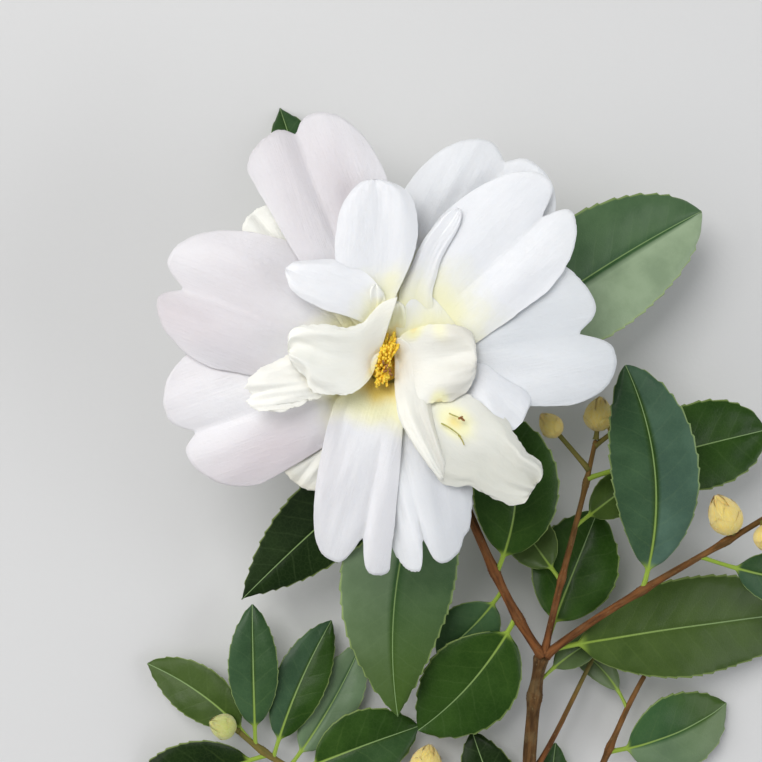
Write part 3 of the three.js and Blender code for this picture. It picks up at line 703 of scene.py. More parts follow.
@dataclass(frozen=True)
class PetalFinish:
    """Thin, faintly ribbed petal flesh that turns yellow towards the throat."""

    name: str
    flesh: Colour
    # rosy and bluish are the hues of the painted shade that dims the flesh further out
    rosy: Colour = (0.61, 0.55, 0.58)
    bluish: Colour = (0.56, 0.60, 0.64)
    cream: Colour = (0.96, 0.93, 0.54)
    gold: Colour = (0.93, 0.69, 0.17)
    age: Colour = (0.70, 0.62, 0.40)

    def build(self, effects: Effects) -> bpy.types.Material:
        """Build the material.

        Args:
            effects: The shared node groups.

        Returns:
            The material.
        """
        constants = {
            "Subsurface Weight": 0.35, "Subsurface Scale": 0.0016, "Subsurface Radius": (1.0, 0.9, 0.8),
            "IOR": 1.38, "Sheen Weight": 0.12, "Sheen Roughness": 0.4,
        }
        finish = Finish(self.name, constants)
        desk = finish.desk
        place = desk.grain()
        mottle = desk.group(effects.mottle, {"Place": place, "Patches a mm": 0.16, "Contrast": 1.2})
        streaks = desk.group(effects.streaks, {"Place": place, "Lines a mm": 1.1, "Length in mm": 14.0})
        # painted shade: the flesh is dimmed towards the rosy or the bluish hue by the shade mark
        dim = desk.blend(desk.mark("cool"), self.rosy, self.bluish)
        white = desk.blend(desk.mark("shade"), self.flesh, dim)
        cloud = desk.maths("MULTIPLY", mottle.outputs["Patches"], 0.12)
        white = desk.blend(cloud, white, dim)
        faint = desk.maths("MULTIPLY", streaks.outputs["Streaks"], 0.045)
        white = desk.blend(faint, white, dim)
        glow = desk.mark("glow")
        wander = desk.maths("MULTIPLY_ADD", mottle.outputs["Patches"], 0.16, -0.08)
        glow = desk.maths("ADD", glow, wander)
        white = desk.blend(desk.remap(glow, 0.05, 0.62, 0.0, 0.92), white, self.cream)
        white = desk.blend(desk.remap(glow, 0.6, 1.08), white, self.gold)
        white = desk.blend(desk.mark("age"), white, self.age)
        finish.set("Base Color", white)
        finish.set("Roughness", desk.remap(mottle.outputs["Patches"], 0.0, 1.0, 0.42, 0.55))
        normal = finish.bump(streaks.outputs["Fine streaks"], 0.025)
        finish.bump(desk.noise(place, 1.1, 3.0), 0.08, normal)
        return finish.material


@dataclass(frozen=True)
class BarkFinish:
    """Thin bark with lengthwise cracks, grey film and pale pores."""

    name: str
    deep: Colour
    warm: Colour
    film: Colour
    film_share: float
    crack_depth: float
    shoot_green: Colour = (0.18, 0.21, 0.05)

    def build(self, effects: Effects) -> bpy.types.Material:
        """Build the material.

        Args:
            effects: The shared node groups.

        Returns:
            The material.
        """
        finish = Finish(self.name, {"IOR": 1.4, "Specular IOR Level": 0.2})
        desk = finish.desk
        place = desk.grain()
        streaks = desk.group(effects.streaks, {"Place": place, "Lines a mm": 1.3, "Length in mm": 5.0})
        mottle = desk.group(effects.mottle, {"Place": place, "Patches a mm": 0.35, "Contrast": 1.5})
        brown = desk.blend(streaks.outputs["Streaks"], self.deep, self.warm)
        patches = desk.remap(mottle.outputs["Patches"], 0.35, 0.9, 0.0, self.film_share)
        brown = desk.blend(patches, brown, self.film)
        cells = desk.add("TexVoronoi", {"Vector": desk.stretch(place, (1.0, 1.0, 0.55)), "Scale": 1.05})
        pores = desk.remap(cells.outputs["Distance"], 0.2, 0.09)
        brown = desk.blend(desk.maths("MULTIPLY", pores, 0.6), brown, self.film)
        brown = desk.blend(desk.maths("MULTIPLY", mottle.outputs["Speckle"], 0.35), brown, self.deep)
        brown = desk.blend(desk.mark("green"), brown, self.shoot_green)
        finish.set("Base Color", brown)
        finish.set("Roughness", desk.remap(streaks.outputs["Fine streaks"], 0.0, 1.0, 0.55, 0.8))
        normal = finish.bump(streaks.outputs["Fine streaks"], self.crack_depth)
        finish.bump(pores, 0.08, normal)
        return finish.material


@dataclass(frozen=True)
class CutWoodFinish:
    """The pale cut face of the main stem, with its pith and rings."""

    name: str = "cut_wood"
    pale: Colour = (0.55, 0.42, 0.24)
    dark: Colour = (0.28, 0.17, 0.08)
    inner_bark: Colour = (0.16, 0.20, 0.05)

    def build(self, effects: Effects) -> bpy.types.Material:
        """Build the material.

        Args:
            effects: The shared node groups.

        Returns:
            The material.
        """
        finish = Finish(self.name, {"IOR": 1.45})
        desk = finish.desk
        place = desk.grain()
        flat = desk.stretch(place, (1.0, 1.0, 0.0))
        radius = desk.add("VectorMath", {0: flat}, operation="LENGTH").outputs["Value"]
        rings = desk.maths("SINE", desk.maths("MULTIPLY", radius, 16.0))
        mottle = desk.group(effects.mottle, {"Place": place, "Patches a mm": 1.2})
        wood = desk.blend(desk.remap(rings, -1.0, 1.0, 0.0, 0.45), self.pale, self.dark)
        wood = desk.blend(desk.remap(radius, 0.4, 0.2), wood, self.dark)
        wood = desk.blend(desk.maths("MULTIPLY", mottle.outputs["Patches"], 0.3), wood, self.dark)
        wood = desk.blend(desk.remap(radius, 1.45, 1.7), wood, self.inner_bark)
        finish.set("Base Color", wood)
        finish.set("Roughness", desk.remap(mottle.outputs["Speckle"], 0.0, 1.0, 0.6, 0.8))
        finish.bump(rings, 0.05)
        return finish.material


@dataclass(frozen=True)
class ScaleFinish:
    """Silky scales of a bud or of the calyx."""

    name: str
    body: Colour
    tip: Colour
    hair: Colour = (0.78, 0.74, 0.55)
    silk: float = 0.4

    def build(self, effects: Effects) -> bpy.types.Material:
        """Build the material.

        Args:
            effects: The shared node groups.

        Returns:
            The material.
        """
        finish = Finish(self.name, {"IOR": 1.4, "Sheen Weight": 0.35, "Sheen Roughness": 0.35,
                                    "Subsurface Weight": 0.12, "Subsurface Scale": 0.0008})
        desk = finish.desk
        place = desk.grain()
        streaks = desk.group(effects.streaks, {"Place": place, "Lines a mm": 4.5, "Length in mm": 3.0})
        mottle = desk.group(effects.mottle, {"Place": place, "Patches a mm": 0.8, "Contrast": 1.2})
        tone = desk.blend(desk.maths("MULTIPLY", mottle.outputs["Patches"], 0.4), self.body, self.tip)
        tone = desk.blend(desk.remap(desk.mark("tip"), 0.72, 1.0, 0.0, 0.8), tone, self.tip)
        hairs = desk.maths("MULTIPLY", streaks.outputs["Fine streaks"], self.silk)
        tone = desk.blend(hairs, tone, self.hair)
        finish.set("Base Color", tone)
        finish.set("Roughness", desk.remap(streaks.outputs["Streaks"], 0.0, 1.0, 0.5, 0.7))
        finish.bump(streaks.outputs["Fine streaks"], 0.06)
        return finish.material


@dataclass(frozen=True)
class PollenFinish:
    """Stamens and their pollen sacs: a smooth colour with grains over it."""

    name: str
    pale: Colour
    deep: Colour
    grain_depth: float

    def build(self, effects: Effects) -> bpy.types.Material:
        """Build the material.

        Args:
            effects: The shared node groups.

        Returns:
            The material.
        """
        finish = Finish(self.name, {"IOR": 1.4, "Subsurface Weight": 0.2, "Subsurface Scale": 0.0006})
        desk = finish.desk
        place = desk.grain()
        mottle = desk.group(effects.mottle, {"Place": place, "Patches a mm": 1.6, "Contrast": 1.6})
        tone = desk.blend(mottle.outputs["Patches"], self.pale, self.deep)
        tone = desk.blend(desk.maths("MULTIPLY", mottle.outputs["Speckle"], 0.4), tone, self.deep)
        finish.set("Base Color", tone)
        finish.set("Roughness", desk.remap(mottle.outputs["Speckle"], 0.0, 1.0, 0.5, 0.75))
        finish.bump(desk.noise(place, 9.0, 2.0), self.grain_depth)
        return finish.material


@dataclass(frozen=True)
class FloorFinish:
    """A plain pale floor with the faint tooth of matt paper."""

    name: str = "pale_floor"
    pale: Colour = (0.64, 0.645, 0.65)
    shade: Colour = (0.61, 0.615, 0.62)

    def build(self) -> bpy.types.Material:
        """Build the material.

        Returns:
            The material.
        """
        finish = Finish(self.name, {"IOR": 1.35})
        desk = finish.desk
        place = desk.add("TexCoord").outputs["Object"]
        tooth = desk.noise(place, 900.0, 2.0)
        finish.set("Base Color", desk.blend(desk.noise(place, 7.0, 2.0), self.pale, self.shade))
        finish.set("Roughness", desk.remap(tooth, 0.3, 0.7, 0.75, 0.9))
        finish.bump(tooth, 0.03)
        return finish.material


@dataclass(frozen=True)
class Limb:
    """One tapering woody limb along a cubic curve.

    curve holds the curve's four control points. radius is its radius at both ends. knuckles are the
    swellings that side shoots left, each a place along the curve and a size. relief is how deep its
    cracks are, collar how much a shoot widens at its foot and greenness how green its end is.
    """

    name: str
    curve: tuple[Point, Point, Point, Point]
    radius: tuple[float, float]
    knuckles: tuple[tuple[float, float], ...] = ()
    bark: Bark = Bark.YOUNG
    relief: float = 0.045
    collar: float = 0.45
    greenness: float = 0.0

    KNUCKLE_SHARE = 0.035
    RING_PITCH = 0.3
    SIDES = 28
    COLLAR_LENGTH = 1.1
    CRACK_FOLDS = (3, 5, 8, 11)
    SCAR_PLACES = (-0.7, 0.0, 0.55)
    SCAR_WIDTH = 0.16
    SCAR_SHARE = 0.35

    def point(self, at: Array | float) -> Array:
        """Find the middle of the limb.

        Args:
            at: Fractions of the limb's curve.

        Returns:
            The places, one a row.
        """
        share = np.atleast_1d(at)[:, None]
        first, second, third, last = (np.array(corner) for corner in self.curve)
        rest = 1.0 - share
        return (rest**3 * first + 3.0 * rest**2 * share * second
                + 3.0 * rest * share**2 * third + share**3 * last)

    def girth(self, at: Array) -> Array:
        """Work out the radius with its knuckles.

        Args:
            at: Fractions of the limb's curve.

        Returns:
            The radius at each.
        """
        start, end = self.radius
        radius = start + (end - start) * at
        for place, size in self.knuckles:
            radius = radius + size * np.exp(-(((at - place) / self.KNUCKLE_SHARE) ** 2))
        return radius

    def patch(self) -> Patch:
        """Build the limb's bark, with cracks, scars and a collar at its foot.

        Returns:
            The limb as a closed tube.
        """
        length = line_length(self.point(np.linspace(0.0, 1.0, MEASURING_STEPS)))
        at = np.linspace(0.0, 1.0, int(length / self.RING_PITCH))
        centres = self.point(at)
        distance = at * length
        angle = np.arange(self.SIDES) * 2.0 * math.pi / self.SIDES
        radius = self.girth(at)[:, None] * np.ones(self.SIDES)
        if self.bark is Bark.YOUNG:
            radius += self.collar * np.exp(-distance / self.COLLAR_LENGTH)[:, None]
        radius += self._cracks(distance, angle)
        radius += self._scars(distance, length)[:, None]
        to_end = (length - distance) / self.radius[1]
        radius *= np.sqrt(np.clip(1.0 - (1.0 - np.minimum(to_end, 1.0)) ** 2, 0.002, 1.0))[:, None]
        made = tube(centres, radius, self.SIDES, distance, caps=(1, 0))
        made.points[:, 2] = np.maximum(made.points[:, 2], 0.0)
        green = self.greenness * ease(0.2, 1.0, at)
        made.marks["green"] = np.repeat(green, self.SIDES)
        return made

    def _cracks(self, distance: Array, angle: Array) -> Array:
        """Return lengthwise ridges and cracks.

        Args:
            distance: Distance of each ring along the limb.
            angle: Angle of each point round a ring.

        Returns:
            What they add to the radius, by ring and side.
        """
        rng = np.random.default_rng(seed_of(self.name))
        total = np.zeros((len(distance), len(angle)))
        for folds in self.CRACK_FOLDS:
            drift = 1.6 * np.sin(distance / rng.uniform(3.0, 7.0) + rng.uniform(0.0, 6.0))
            fade = 0.6 + 0.4 * np.sin(distance / rng.uniform(1.5, 4.0) + rng.uniform(0.0, 6.0))
            wave = np.sin(folds * angle[None] + drift[:, None] + rng.uniform(0.0, 6.0))
            total += fade[:, None] * wave / math.sqrt(folds)
        return self.relief * total

    def _scars(self, distance: Array, length: float) -> Array:
        """Return the narrow rings that fallen leaves and bud scales left.

        Args:
            distance: Distance of each ring along the limb.
            length: The limb's length.

        Returns:
            What they add to the radius, by ring.
        """
        total = np.zeros(len(distance))
        for place, size in self.knuckles:
            for offset in self.SCAR_PLACES:
                gap = (distance - place * length - offset) / self.SCAR_WIDTH
                total += self.SCAR_SHARE * size * np.exp(-(gap**2))
        return total


@dataclass(frozen=True)
class Leaf:
    """One toothed leaf on its stalk.

    The leaf leaves its limb at a fraction of the limb's curve. arch lifts its middle, sweep bows it to
    the left seen from its foot, roll tips its left half up and fold raises both halves, in degrees.
    taper is how pointed the blade is. Painted sheen pales its left and its right half by the two given
    shares, fade is how much of that is lost at the tip, and ripe how olive the tip is.
    """

    name: str
    on: str
    at: float
    tip: Point
    width: float
    arch: float
    sweep: float
    roll: float
    fold: float
    stalk: float
    tone: LeafTone
    wax: tuple[float, float] = (0.0, 0.0)
    fade: float = 0.0
    taper: float = 0.8
    ripe: float = 0.0

    VEIN_PITCH = 4.6
    VEIN_SLANT = 0.75
    SHOULDER = 0.72
    ROW_PITCH = 0.34
    THICKNESS = 0.42
    TOOTH_PITCH = 2.9
    TOOTH_DEPTH = 0.36
    TOOTH_BACK = 0.82
    STALK_ROWS = 8
    FEWEST_ROWS = 40
    STALK_FLARE = 0.5
    FLARE_LENGTH = 0.9
    STALK_RADIUS = 0.25
    STALK_RADIUS_PER_WIDTH = 0.014
    RIB_DEPTH = 0.25
    RIB_DEPTH_PER_WIDTH = 0.018
    RIB_SPREAD = 0.55
    GROOVE_DEPTH = 0.16
    QUILT_HEIGHT = 0.03
    TIP_DROOP = 0.5
    LEAST_TOP = 0.12
    LEAST_UNDER = 0.02
    HALF_COLUMNS = (0.0, 0.02, 0.045, 0.08, 0.14, 0.23, 0.34, 0.46, 0.58, 0.7, 0.8, 0.88, 0.94, 0.975, 1.0)

    def patch(self, limb: Limb) -> Patch:
        """Build the blade with its stalk.

        Args:
            limb: The limb that carries the leaf.

        Returns:
            The leaf as a closed sheet.
        """
        foot = limb.point(self.at)[0]
        tip = np.array(self.tip)
        bend = self._bend(foot, tip)
        length = line_length(self._line(foot, bend, tip, np.linspace(0.0, 1.0, MEASURING_STEPS)))
        half = np.array(self.HALF_COLUMNS)
        across = np.concatenate([-half[:0:-1], half])[None, :]
        rows, k = self._rows(length)
        place = k * (length - self.stalk)
        stalk_share = self.stalk / length
        blade = ease(0.55 * stalk_share, stalk_share * 1.25 + 0.03, rows)
        flare = 1.0 + self.STALK_FLARE * np.exp(-rows * length / self.FLARE_LENGTH)
        sideways, forward, over, under = self._sections(across, k, place, blade, flare)
        along = unit(2.0 * (1.0 - rows) * (bend - foot) + 2.0 * rows * (tip - bend))
        left = unit(np.cross(UP, along))
        roll = math.radians(self.roll)
        left = left * math.cos(roll) + np.cross(along, left) * math.sin(roll)
        normal = np.cross(along, left)
        spine = self._line(foot, bend, tip, rows[:, 0])[:, None, :]
        flat = spine - left[:, None, :] * sideways[..., None] + along[:, None, :] * forward[..., None]
        upper = flat + normal[:, None, :] * over[..., None]
        lower = flat + normal[:, None, :] * under[..., None]
        upper[..., 2] = np.maximum(upper[..., 2], self.LEAST_TOP)
        lower[..., 2] = np.maximum(lower[..., 2], self.LEAST_UNDER)
        drift = float(seed_of(self.name) % 97)
        return closed_sheet(upper, lower, stacked(sideways, drift, place), self._marks(across, k, blade))

    def _rows(self, length: float) -> tuple[Array, Array]:
        """Space the rows of points along the stalk and the blade.

        Args:
            length: Length of the stalk and the blade together.

        Returns:
            Fractions along the whole leaf, and along the blade alone.
        """
        stalk_share = self.stalk / length
        stalk_rows = stalk_share * np.linspace(0.0, 1.0, self.STALK_ROWS + 1)[:-1]
        blade_length = length - self.stalk
        steps = np.linspace(0.0, 1.0, max(self.FEWEST_ROWS, int(blade_length / self.ROW_PITCH)))
        rows = np.concatenate([stalk_rows, stalk_share + (1.0 - stalk_share) * steps])[:, None]
        return rows, np.clip((rows - stalk_share) / (1.0 - stalk_share), 0.0, 1.0)

    def _sections(self, across: Array, k: Array, place: Array, blade: Array,
                  flare: Array) -> tuple[Array, Array, Array, Array]:
        """Work out the cross-sections, round along the stalk and flat along the blade.

        Args:
            across: Sideways place of each column, -1 to 1.
            k: Fraction along the blade.
            place: Distance along the blade.
            blade: How much of each row is blade, 0 on the stalk.
            flare: How many times its usual thickness the stalk has at each row.

        Returns:
            How far each point lies sideways and forward, and how high the upper and lower faces lie.
        """
        half_width = self._half_width(k)
        teeth, forward = self._teeth(place, k, across, half_width)
        flat_side = across * half_width + np.sign(across) * teeth
        height = self._relief(flat_side, across, k, place)
        stalk_radius = self.STALK_RADIUS + self.STALK_RADIUS_PER_WIDTH * self.width
        turn = across * math.pi / 2.0
        round_side = stalk_radius * flare * np.sin(turn)
        round_height = stalk_radius * flare * np.cos(turn)
        sideways = round_side * (1.0 - blade) + flat_side * blade
        near_rib = np.exp(-((sideways / self.RIB_SPREAD) ** 2))
        rib = (self.RIB_DEPTH + self.RIB_DEPTH_PER_WIDTH * self.width) * (1.0 - k) ** 0.6 * near_rib
        skin = self.THICKNESS / 2.0 * (1.0 - 0.6 * np.abs(across) ** 8)
        over = round_height * (1.0 - blade) + (height + skin) * blade
        under = -round_height * (1.0 - blade) + (height - skin - rib) * blade
        return sideways, forward, over, under

    def _bend(self, foot: Array, tip: Array) -> Array:
        """Find the control point in the middle of the leaf's curve.

        Args:
            foot: Where the stalk starts.
            tip: Where the blade ends.

        Returns:
            The control point.
        """
        along = unit(tip - foot)
        left = unit(np.cross(UP, along))
        return (foot + tip) / 2.0 + UP * 2.0 * self.arch + left * 2.0 * self.sweep

    @staticmethod
    def _line(foot: Array, bend: Array, tip: Array, at: Array) -> Array:
        """Return points of the midrib at fractions of its curve."""
        share = at[:, None]
        return (1.0 - share) ** 2 * foot + 2.0 * share * (1.0 - share) * bend + share**2 * tip

    def _half_width(self, k: Array) -> Array:
        """Work out half the blade's width.

        Args:
            k: Fractions of the blade's length.

        Returns:
            The half-width at each.
        """
        widest = self.SHOULDER / (self.SHOULDER + self.taper)
        peak = widest**self.SHOULDER * (1.0 - widest) ** self.taper
        width = self.width / 2.0 * (k**self.SHOULDER * (1.0 - k) ** self.taper) / peak
        return np.maximum(width, np.where(k > 0.5, 0.16, 0.5))

    def _teeth(self, place: Array, k: Array, across: Array, half_width: Array) -> tuple[Array, Array]:
        """Return the saw teeth of the rim, which point forward.

        Args:
            place: Distance of each row along the blade.
            k: The same as a fraction of the blade.
            across: Sideways place of each column, -1 to 1.
            half_width: Half the blade's width at each row.

        Returns:
            How far the rim is pushed outward and forward.
        """
        rng = np.random.default_rng(seed_of(self.name))
        shift = rng.uniform(0.0, self.TOOTH_PITCH, 2)
        pitch = self.TOOTH_PITCH * min(1.0, 0.55 + self.width / 40.0)
        offset = np.where(across < 0.0, shift[0], shift[1])
        wander = 0.35 * np.sin(place * 0.9 + shift[0])
        phase = ((place + offset + wander) / pitch) % 1.0
        back = self.TOOTH_BACK
        tooth = np.where(phase < back, (phase / back) ** 1.5, (1.0 - phase) / (1.0 - back))
        present = ease(0.06, 0.2, k) * ease(1.0, 0.9, k)
        near_rim = np.abs(across) ** 14
        depth = self.TOOTH_DEPTH * min(1.0, self.width / 18.0)
        outward = depth * (tooth - 0.35) * present * near_rim
        forward = 0.8 * depth * tooth * present * near_rim
        return outward * np.minimum(1.0, half_width), forward

    def _relief(self, sideways: Array, across: Array, k: Array, place: Array) -> Array:
        """Return the height of the blade over its flat plane.

        Args:
            sideways: Distance from the midrib.
            across: The same as a fraction of the half-width.
            k: Fraction along the blade.
            place: Distance along the blade.

        Returns:
            Heights, by row and column.
        """
        rng = np.random.default_rng(seed_of(self.name) + 1)
        out = np.abs(sideways)
        fold = out * math.sin(math.radians(self.fold)) * (1.25 - 0.5 * np.abs(across) ** 2)
        groove = -self.GROOVE_DEPTH * np.exp(-((sideways / self.RIB_SPREAD) ** 2)) * (1.0 - k) ** 0.3
        phase = (place - self.VEIN_SLANT * out) / self.VEIN_PITCH
        body = ease(0.3, 1.5, out) * (1.0 - np.abs(across) ** 3)
        quilt = -self.QUILT_HEIGHT * np.cos(2.0 * math.pi * phase) * body
        wave_length = rng.uniform(15.0, 24.0)
        phases = np.where(across < 0.0, rng.uniform(0.0, 6.0), rng.uniform(0.0, 6.0))
        scale = self.width / 20.0
        wave = 0.32 * scale * np.sin(2.0 * math.pi * place / wave_length + phases) * np.abs(across) ** 2
        lumps = 0.12 * scale * swells(across, k * 2.0, seed_of(self.name), 0.4, 1.2) * (k > 0.0)
        curl = -0.35 * scale * np.abs(across) ** 5
        droop = -self.TIP_DROOP * k**9
        return fold + groove + quilt + wave + lumps * ease(0.0, 0.15, k) + curl + droop

    def _marks(self, across: Array, k: Array, blade: Array) -> dict[str, Array]:
        """Mark the rim, the stalk, the midrib's width and the painted sheen of the halves.

        Args:
            across: Sideways place of each column, -1 to 1.
            k: Fraction along the blade.
            blade: How much of each row is blade, 0 on the stalk.

        Returns:
            The marks that the finish reads.
        """
        # painted sheen: each half of the blade is paled as if it mirrored the lights
        side = np.where(across < 0.0, self.wax[0], self.wax[1])
        return {
            "rim": np.abs(across) * blade,
            "stalk": 1.0 - ease(0.0, 0.05, k),
            "rib": 0.10 + 0.30 * (1.0 - k) ** 1.5,
            "base": (1.0 - k) ** 2,
            "ripe": self.ripe * ease(0.3, 0.9, k),
            "wax": side * (1.0 - self.fade * k) * ease(0.04, 0.12, np.abs(across)),
        }


@dataclass(frozen=True)
class Petal:
    """One petal or petaloid of the bloom.

    azimuth is the way it points and reach its length from the throat. halves are its half-widths and
    shoulders where along its reach its sides turn in, left and right seen from its foot. taper is how
    fast it widens and lean how much longer its left half is. Higher whorls lie on lower ones. foot is
    where it starts and base the share of its width that it starts with. edges, where given, stand in
    for all these: they are the places that its left and its right edge run through from foot to tip.
    notches part its lobes: a place across, a depth and a half-width each. crease is how deep the fold
    that runs in from a notch is, dome how much each lobe crowns, curl how far the rim turns up, tilt
    how far the left side is lifted, ripple how much the petal waves and frill how ragged its edge is.
    shade is how much painted shade dims its left and its right half further out, cool whether that
    painted shade is bluish or rosy, and glow how far the throat's yellow reaches along it. warmth is how
    strong that yellow is, and spots are yellow patches further out: a place across, a place along and a
    strength each.
    droop is how far the petal hangs, cup how far its sides rise and age how brown its edge is.
    """

    name: str
    azimuth: float = 0.0
    reach: float = 20.0
    halves: tuple[float, float] = (5.0, 5.0)
    shoulders: tuple[float, float] = (0.7, 0.7)
    taper: float = 0.6
    whorl: float = 0.0
    droop: float = 0.0
    cup: float = 0.0
    lean: float = 0.0
    edges: tuple[tuple[Spot, ...], ...] = ()
    notches: tuple[tuple[float, float, float], ...] = ()
    tone: PetalTone = PetalTone.WHITE
    crease: float = 0.5
    dome: float = 0.5
    curl: float = -0.4
    ripple: float = 0.35
    frill: float = 0.06
    shade: tuple[float, float] = (0.0, 0.0)
    cool: float = 0.5
    glow: float = 0.3
    age: float = 0.0
    foot: float = 2.8
    base: float = 0.16
    tilt: float = 0.0
    warmth: float = 1.15
    spots: tuple[Point, ...] = ()

    BASE_HEIGHT = 29.0
    PITCH = 1.25
    DISH_RISE = 7.5
    DISH_RISE_PER_WHORL = 0.4
    DISH_RADIUS = 8.0
    FOOT_RADIUS = 2.8
    DROOP_RADIUS = 45.0
    EDGE_ROUNDNESS = 2.6
    THICKNESS = 0.34
    COLUMNS = 71
    ROWS = 60
    SPOT_WIDTH = 0.32
    SPOT_LENGTH = 0.1
    CREASE_WIDTH = 0.2
    DEEP_NOTCH = 3.0

    def patch(self) -> Patch:
        """Build the petal.

        Returns:
            The petal as a closed sheet.
        """
        right = np.sin(math.pi * (np.linspace(0.0, 1.0, self.COLUMNS) - 0.5))[None, :]
        left = -right
        along = (np.linspace(0.0, 1.0, self.ROWS) ** 1.1)[:, None]
        fray = self._fray(left, along)
        spread = self._spread_between_edges if self.edges else self._spread_from_throat
        x, y, side, out = spread(left, along, fray)
        radius = np.hypot(x, y)
        height = self._dish(radius, left, along) + self._relief(left, along)
        skin = self.THICKNESS / 2.0 * (1.0 - 0.7 * np.maximum(np.abs(left) ** 10, along**12))
        upper = stacked(x, y, height + skin)
        lower = stacked(x, y, height - skin)
        grain = stacked(side, float(seed_of(self.name) % 89), out)
        fading = (out - self.foot) / (self.glow * self.reach)
        glow = np.clip(self.warmth - fading, 0.0, 1.15) * (1.0 - 0.3 * np.abs(left))
        for across, place, strength in self.spots:
            gap = ((left - across) / self.SPOT_WIDTH) ** 2 + ((along - place) / self.SPOT_LENGTH) ** 2
            glow = glow + strength * np.exp(-gap)
        marks = {
            "glow": glow,
            "shade": self._shade(left, along),
            "cool": self.cool,
            "age": self.age * ease(0.9, 1.0, np.maximum(np.abs(left), along)),
        }
        return closed_sheet(upper, lower, grain, marks, under_slot=0)

    def _spread_from_throat(self, left: Array, along: Array,
                            fray: Array) -> tuple[Array, Array, Array, Array]:
        """Lay the petal out as a fan from the throat.

        Args:
            left: Fraction of the half-width.
            along: Fraction of the length.
            fray: The ragged edge's offset in millimetres.

        Returns:
            Places right and ahead of the throat, distances from the middle line and from the throat.
        """
        widest = np.where(left > 0.0, self.halves[0], self.halves[1])
        half_width = widest * (self.base + (1.0 - self.base) * along**self.taper)
        out = self.foot + (self._reach(left) + fray * along**6 - self.foot) * along
        side = left * half_width + left**5 * fray * ease(0.35, 0.8, along)
        azimuth = math.radians(self.azimuth)
        x = out * math.cos(azimuth) - side * math.sin(azimuth)
        y = out * math.sin(azimuth) + side * math.cos(azimuth)
        return x, y, side, out

    def _spread_between_edges(self, left: Array, along: Array,
                              fray: Array) -> tuple[Array, Array, Array, Array]:
        """Lay the petal out between its two given edges.

        Args:
            left: Fraction of the half-width.
            along: Fraction of the length.
            fray: The ragged edge's offset in millimetres.

        Returns:
            Places right and ahead of the throat, distances from the middle line and along the petal.
        """
        first, second = (smooth_line(np.array(edge), along[:, 0]) for edge in self.edges)
        middle = (first + second)[:, None, :] / 2.0
        half = (first - second)[:, None, :] / 2.0
        width = np.linalg.norm(half, axis=-1)
        ragged = left**5 * fray * ease(0.1, 0.4, along) * np.minimum(1.0, width)
        place = middle + half * (left + ragged / np.maximum(width, 0.1))[..., None]
        out = self.foot + along * (self.reach - self.foot)
        return place[..., 0], place[..., 1], left * width, out

    def _shade(self, left: Array, along: Array) -> Array:
        """Work out how much painted shade dims each point, with soft drifts over the petal.

        Args:
            left: Fraction of the half-width.
            along: Fraction of the length.

        Returns:
            The dimness, 0 to 1.
        """
        left_share = ease(-0.3, 0.5, left)
        side = self.shade[0] * left_share + self.shade[1] * (1.0 - left_share)
        drift = 0.85 + 0.2 * swells(left, along, seed_of(self.name) + 5, 0.3, 0.8)
        return np.clip(side * ease(0.05, 0.65, along) * drift, 0.0, 1.0)

    def _reach(self, left: Array) -> Array:
        """Work out how far the petal reaches.

        Args:
            left: Fraction of the half-width.

        Returns:
            The distance from the throat to the edge.
        """
        shoulder = np.where(left > 0.0, self.shoulders[0], self.shoulders[1])
        rounded = shoulder + (1.0 - shoulder) * np.sqrt(1.0 - np.abs(left) ** self.EDGE_ROUNDNESS)
        reach = self.reach * rounded + self.lean * left
        for at, depth, width in self.notches:
            reach = reach - depth * np.exp(-((np.abs(left - at) / width) ** 1.4))
        return reach

    def _fray(self, left: Array, along: Array) -> Array:
        """Work out the ragged edge's offset.

        Args:
            left: Fraction of the half-width.
            along: Fraction of the length.

        Returns:
            The offset in millimetres.
        """
        coarse = swells(left * 2.0, along * 2.0, seed_of(self.name) + 2, 1.2, 2.6)
        fine = swells(left * 2.0, along * 2.0, seed_of(self.name) + 3, 4.0, 9.0)
        return self.frill * (0.9 * coarse + 0.6 * fine)

    def _dish(self, radius: Array, left: Array, along: Array) -> Array:
        """Return the height of the petal's smooth form.

        Args:
            radius: Distance of each point from the bloom's axis.
            left: Fraction of the half-width.
            along: Fraction of the length.

        Returns:
            Heights above the floor.
        """
        dish = 1.0 - np.exp(-np.maximum(0.0, radius - self.FOOT_RADIUS) / self.DISH_RADIUS)
        rise = self.DISH_RISE + self.DISH_RISE_PER_WHORL * self.whorl
        return (self.BASE_HEIGHT + self.PITCH * self.whorl + rise * dish
                - self.droop * (radius / self.DROOP_RADIUS) ** 3
                + self.cup * left**2 * along)

    def _relief(self, left: Array, along: Array) -> Array:
        """Return creases, crowned lobes, waves and the turned rim.

        Args:
            left: Fraction of the half-width.
            along: Fraction of the length.

        Returns:
            Heights over the petal's smooth form.
        """
        outer = ease(0.25, 0.95, along)
        total = np.zeros(np.broadcast(left, along).shape)
        for at, depth, width in self.notches:
            share = min(1.0, depth / self.DEEP_NOTCH)
            gap = np.abs(left - at) / self.CREASE_WIDTH
            total -= self.crease * share * np.exp(-(gap**1.5)) * outer
        main = self.notches[0][0] if self.notches else 0.0
        lobe = np.where(left > main, (left - main) / (1.0 - main), (main - left) / (1.0 + main))
        total += self.dome * np.sin(math.pi * np.clip(lobe, 0.0, 1.0)) * outer
        edge = np.maximum(ease(0.6, 1.0, np.abs(left)) * ease(0.1, 0.5, along), ease(0.8, 1.0, along))
        total += self.curl * edge**1.5
        total += self.tilt * left * ease(0.0, 0.5, along)
        total += self.ripple * swells(left, along, seed_of(self.name), 0.4, 1.1) * ease(0.1, 0.6, along)
        fine = swells(left, along * 0.6, seed_of(self.name) + 4, 1.5, 3.2)
        return total + 0.22 * self.ripple * fine * ease(0.2, 0.8, along)


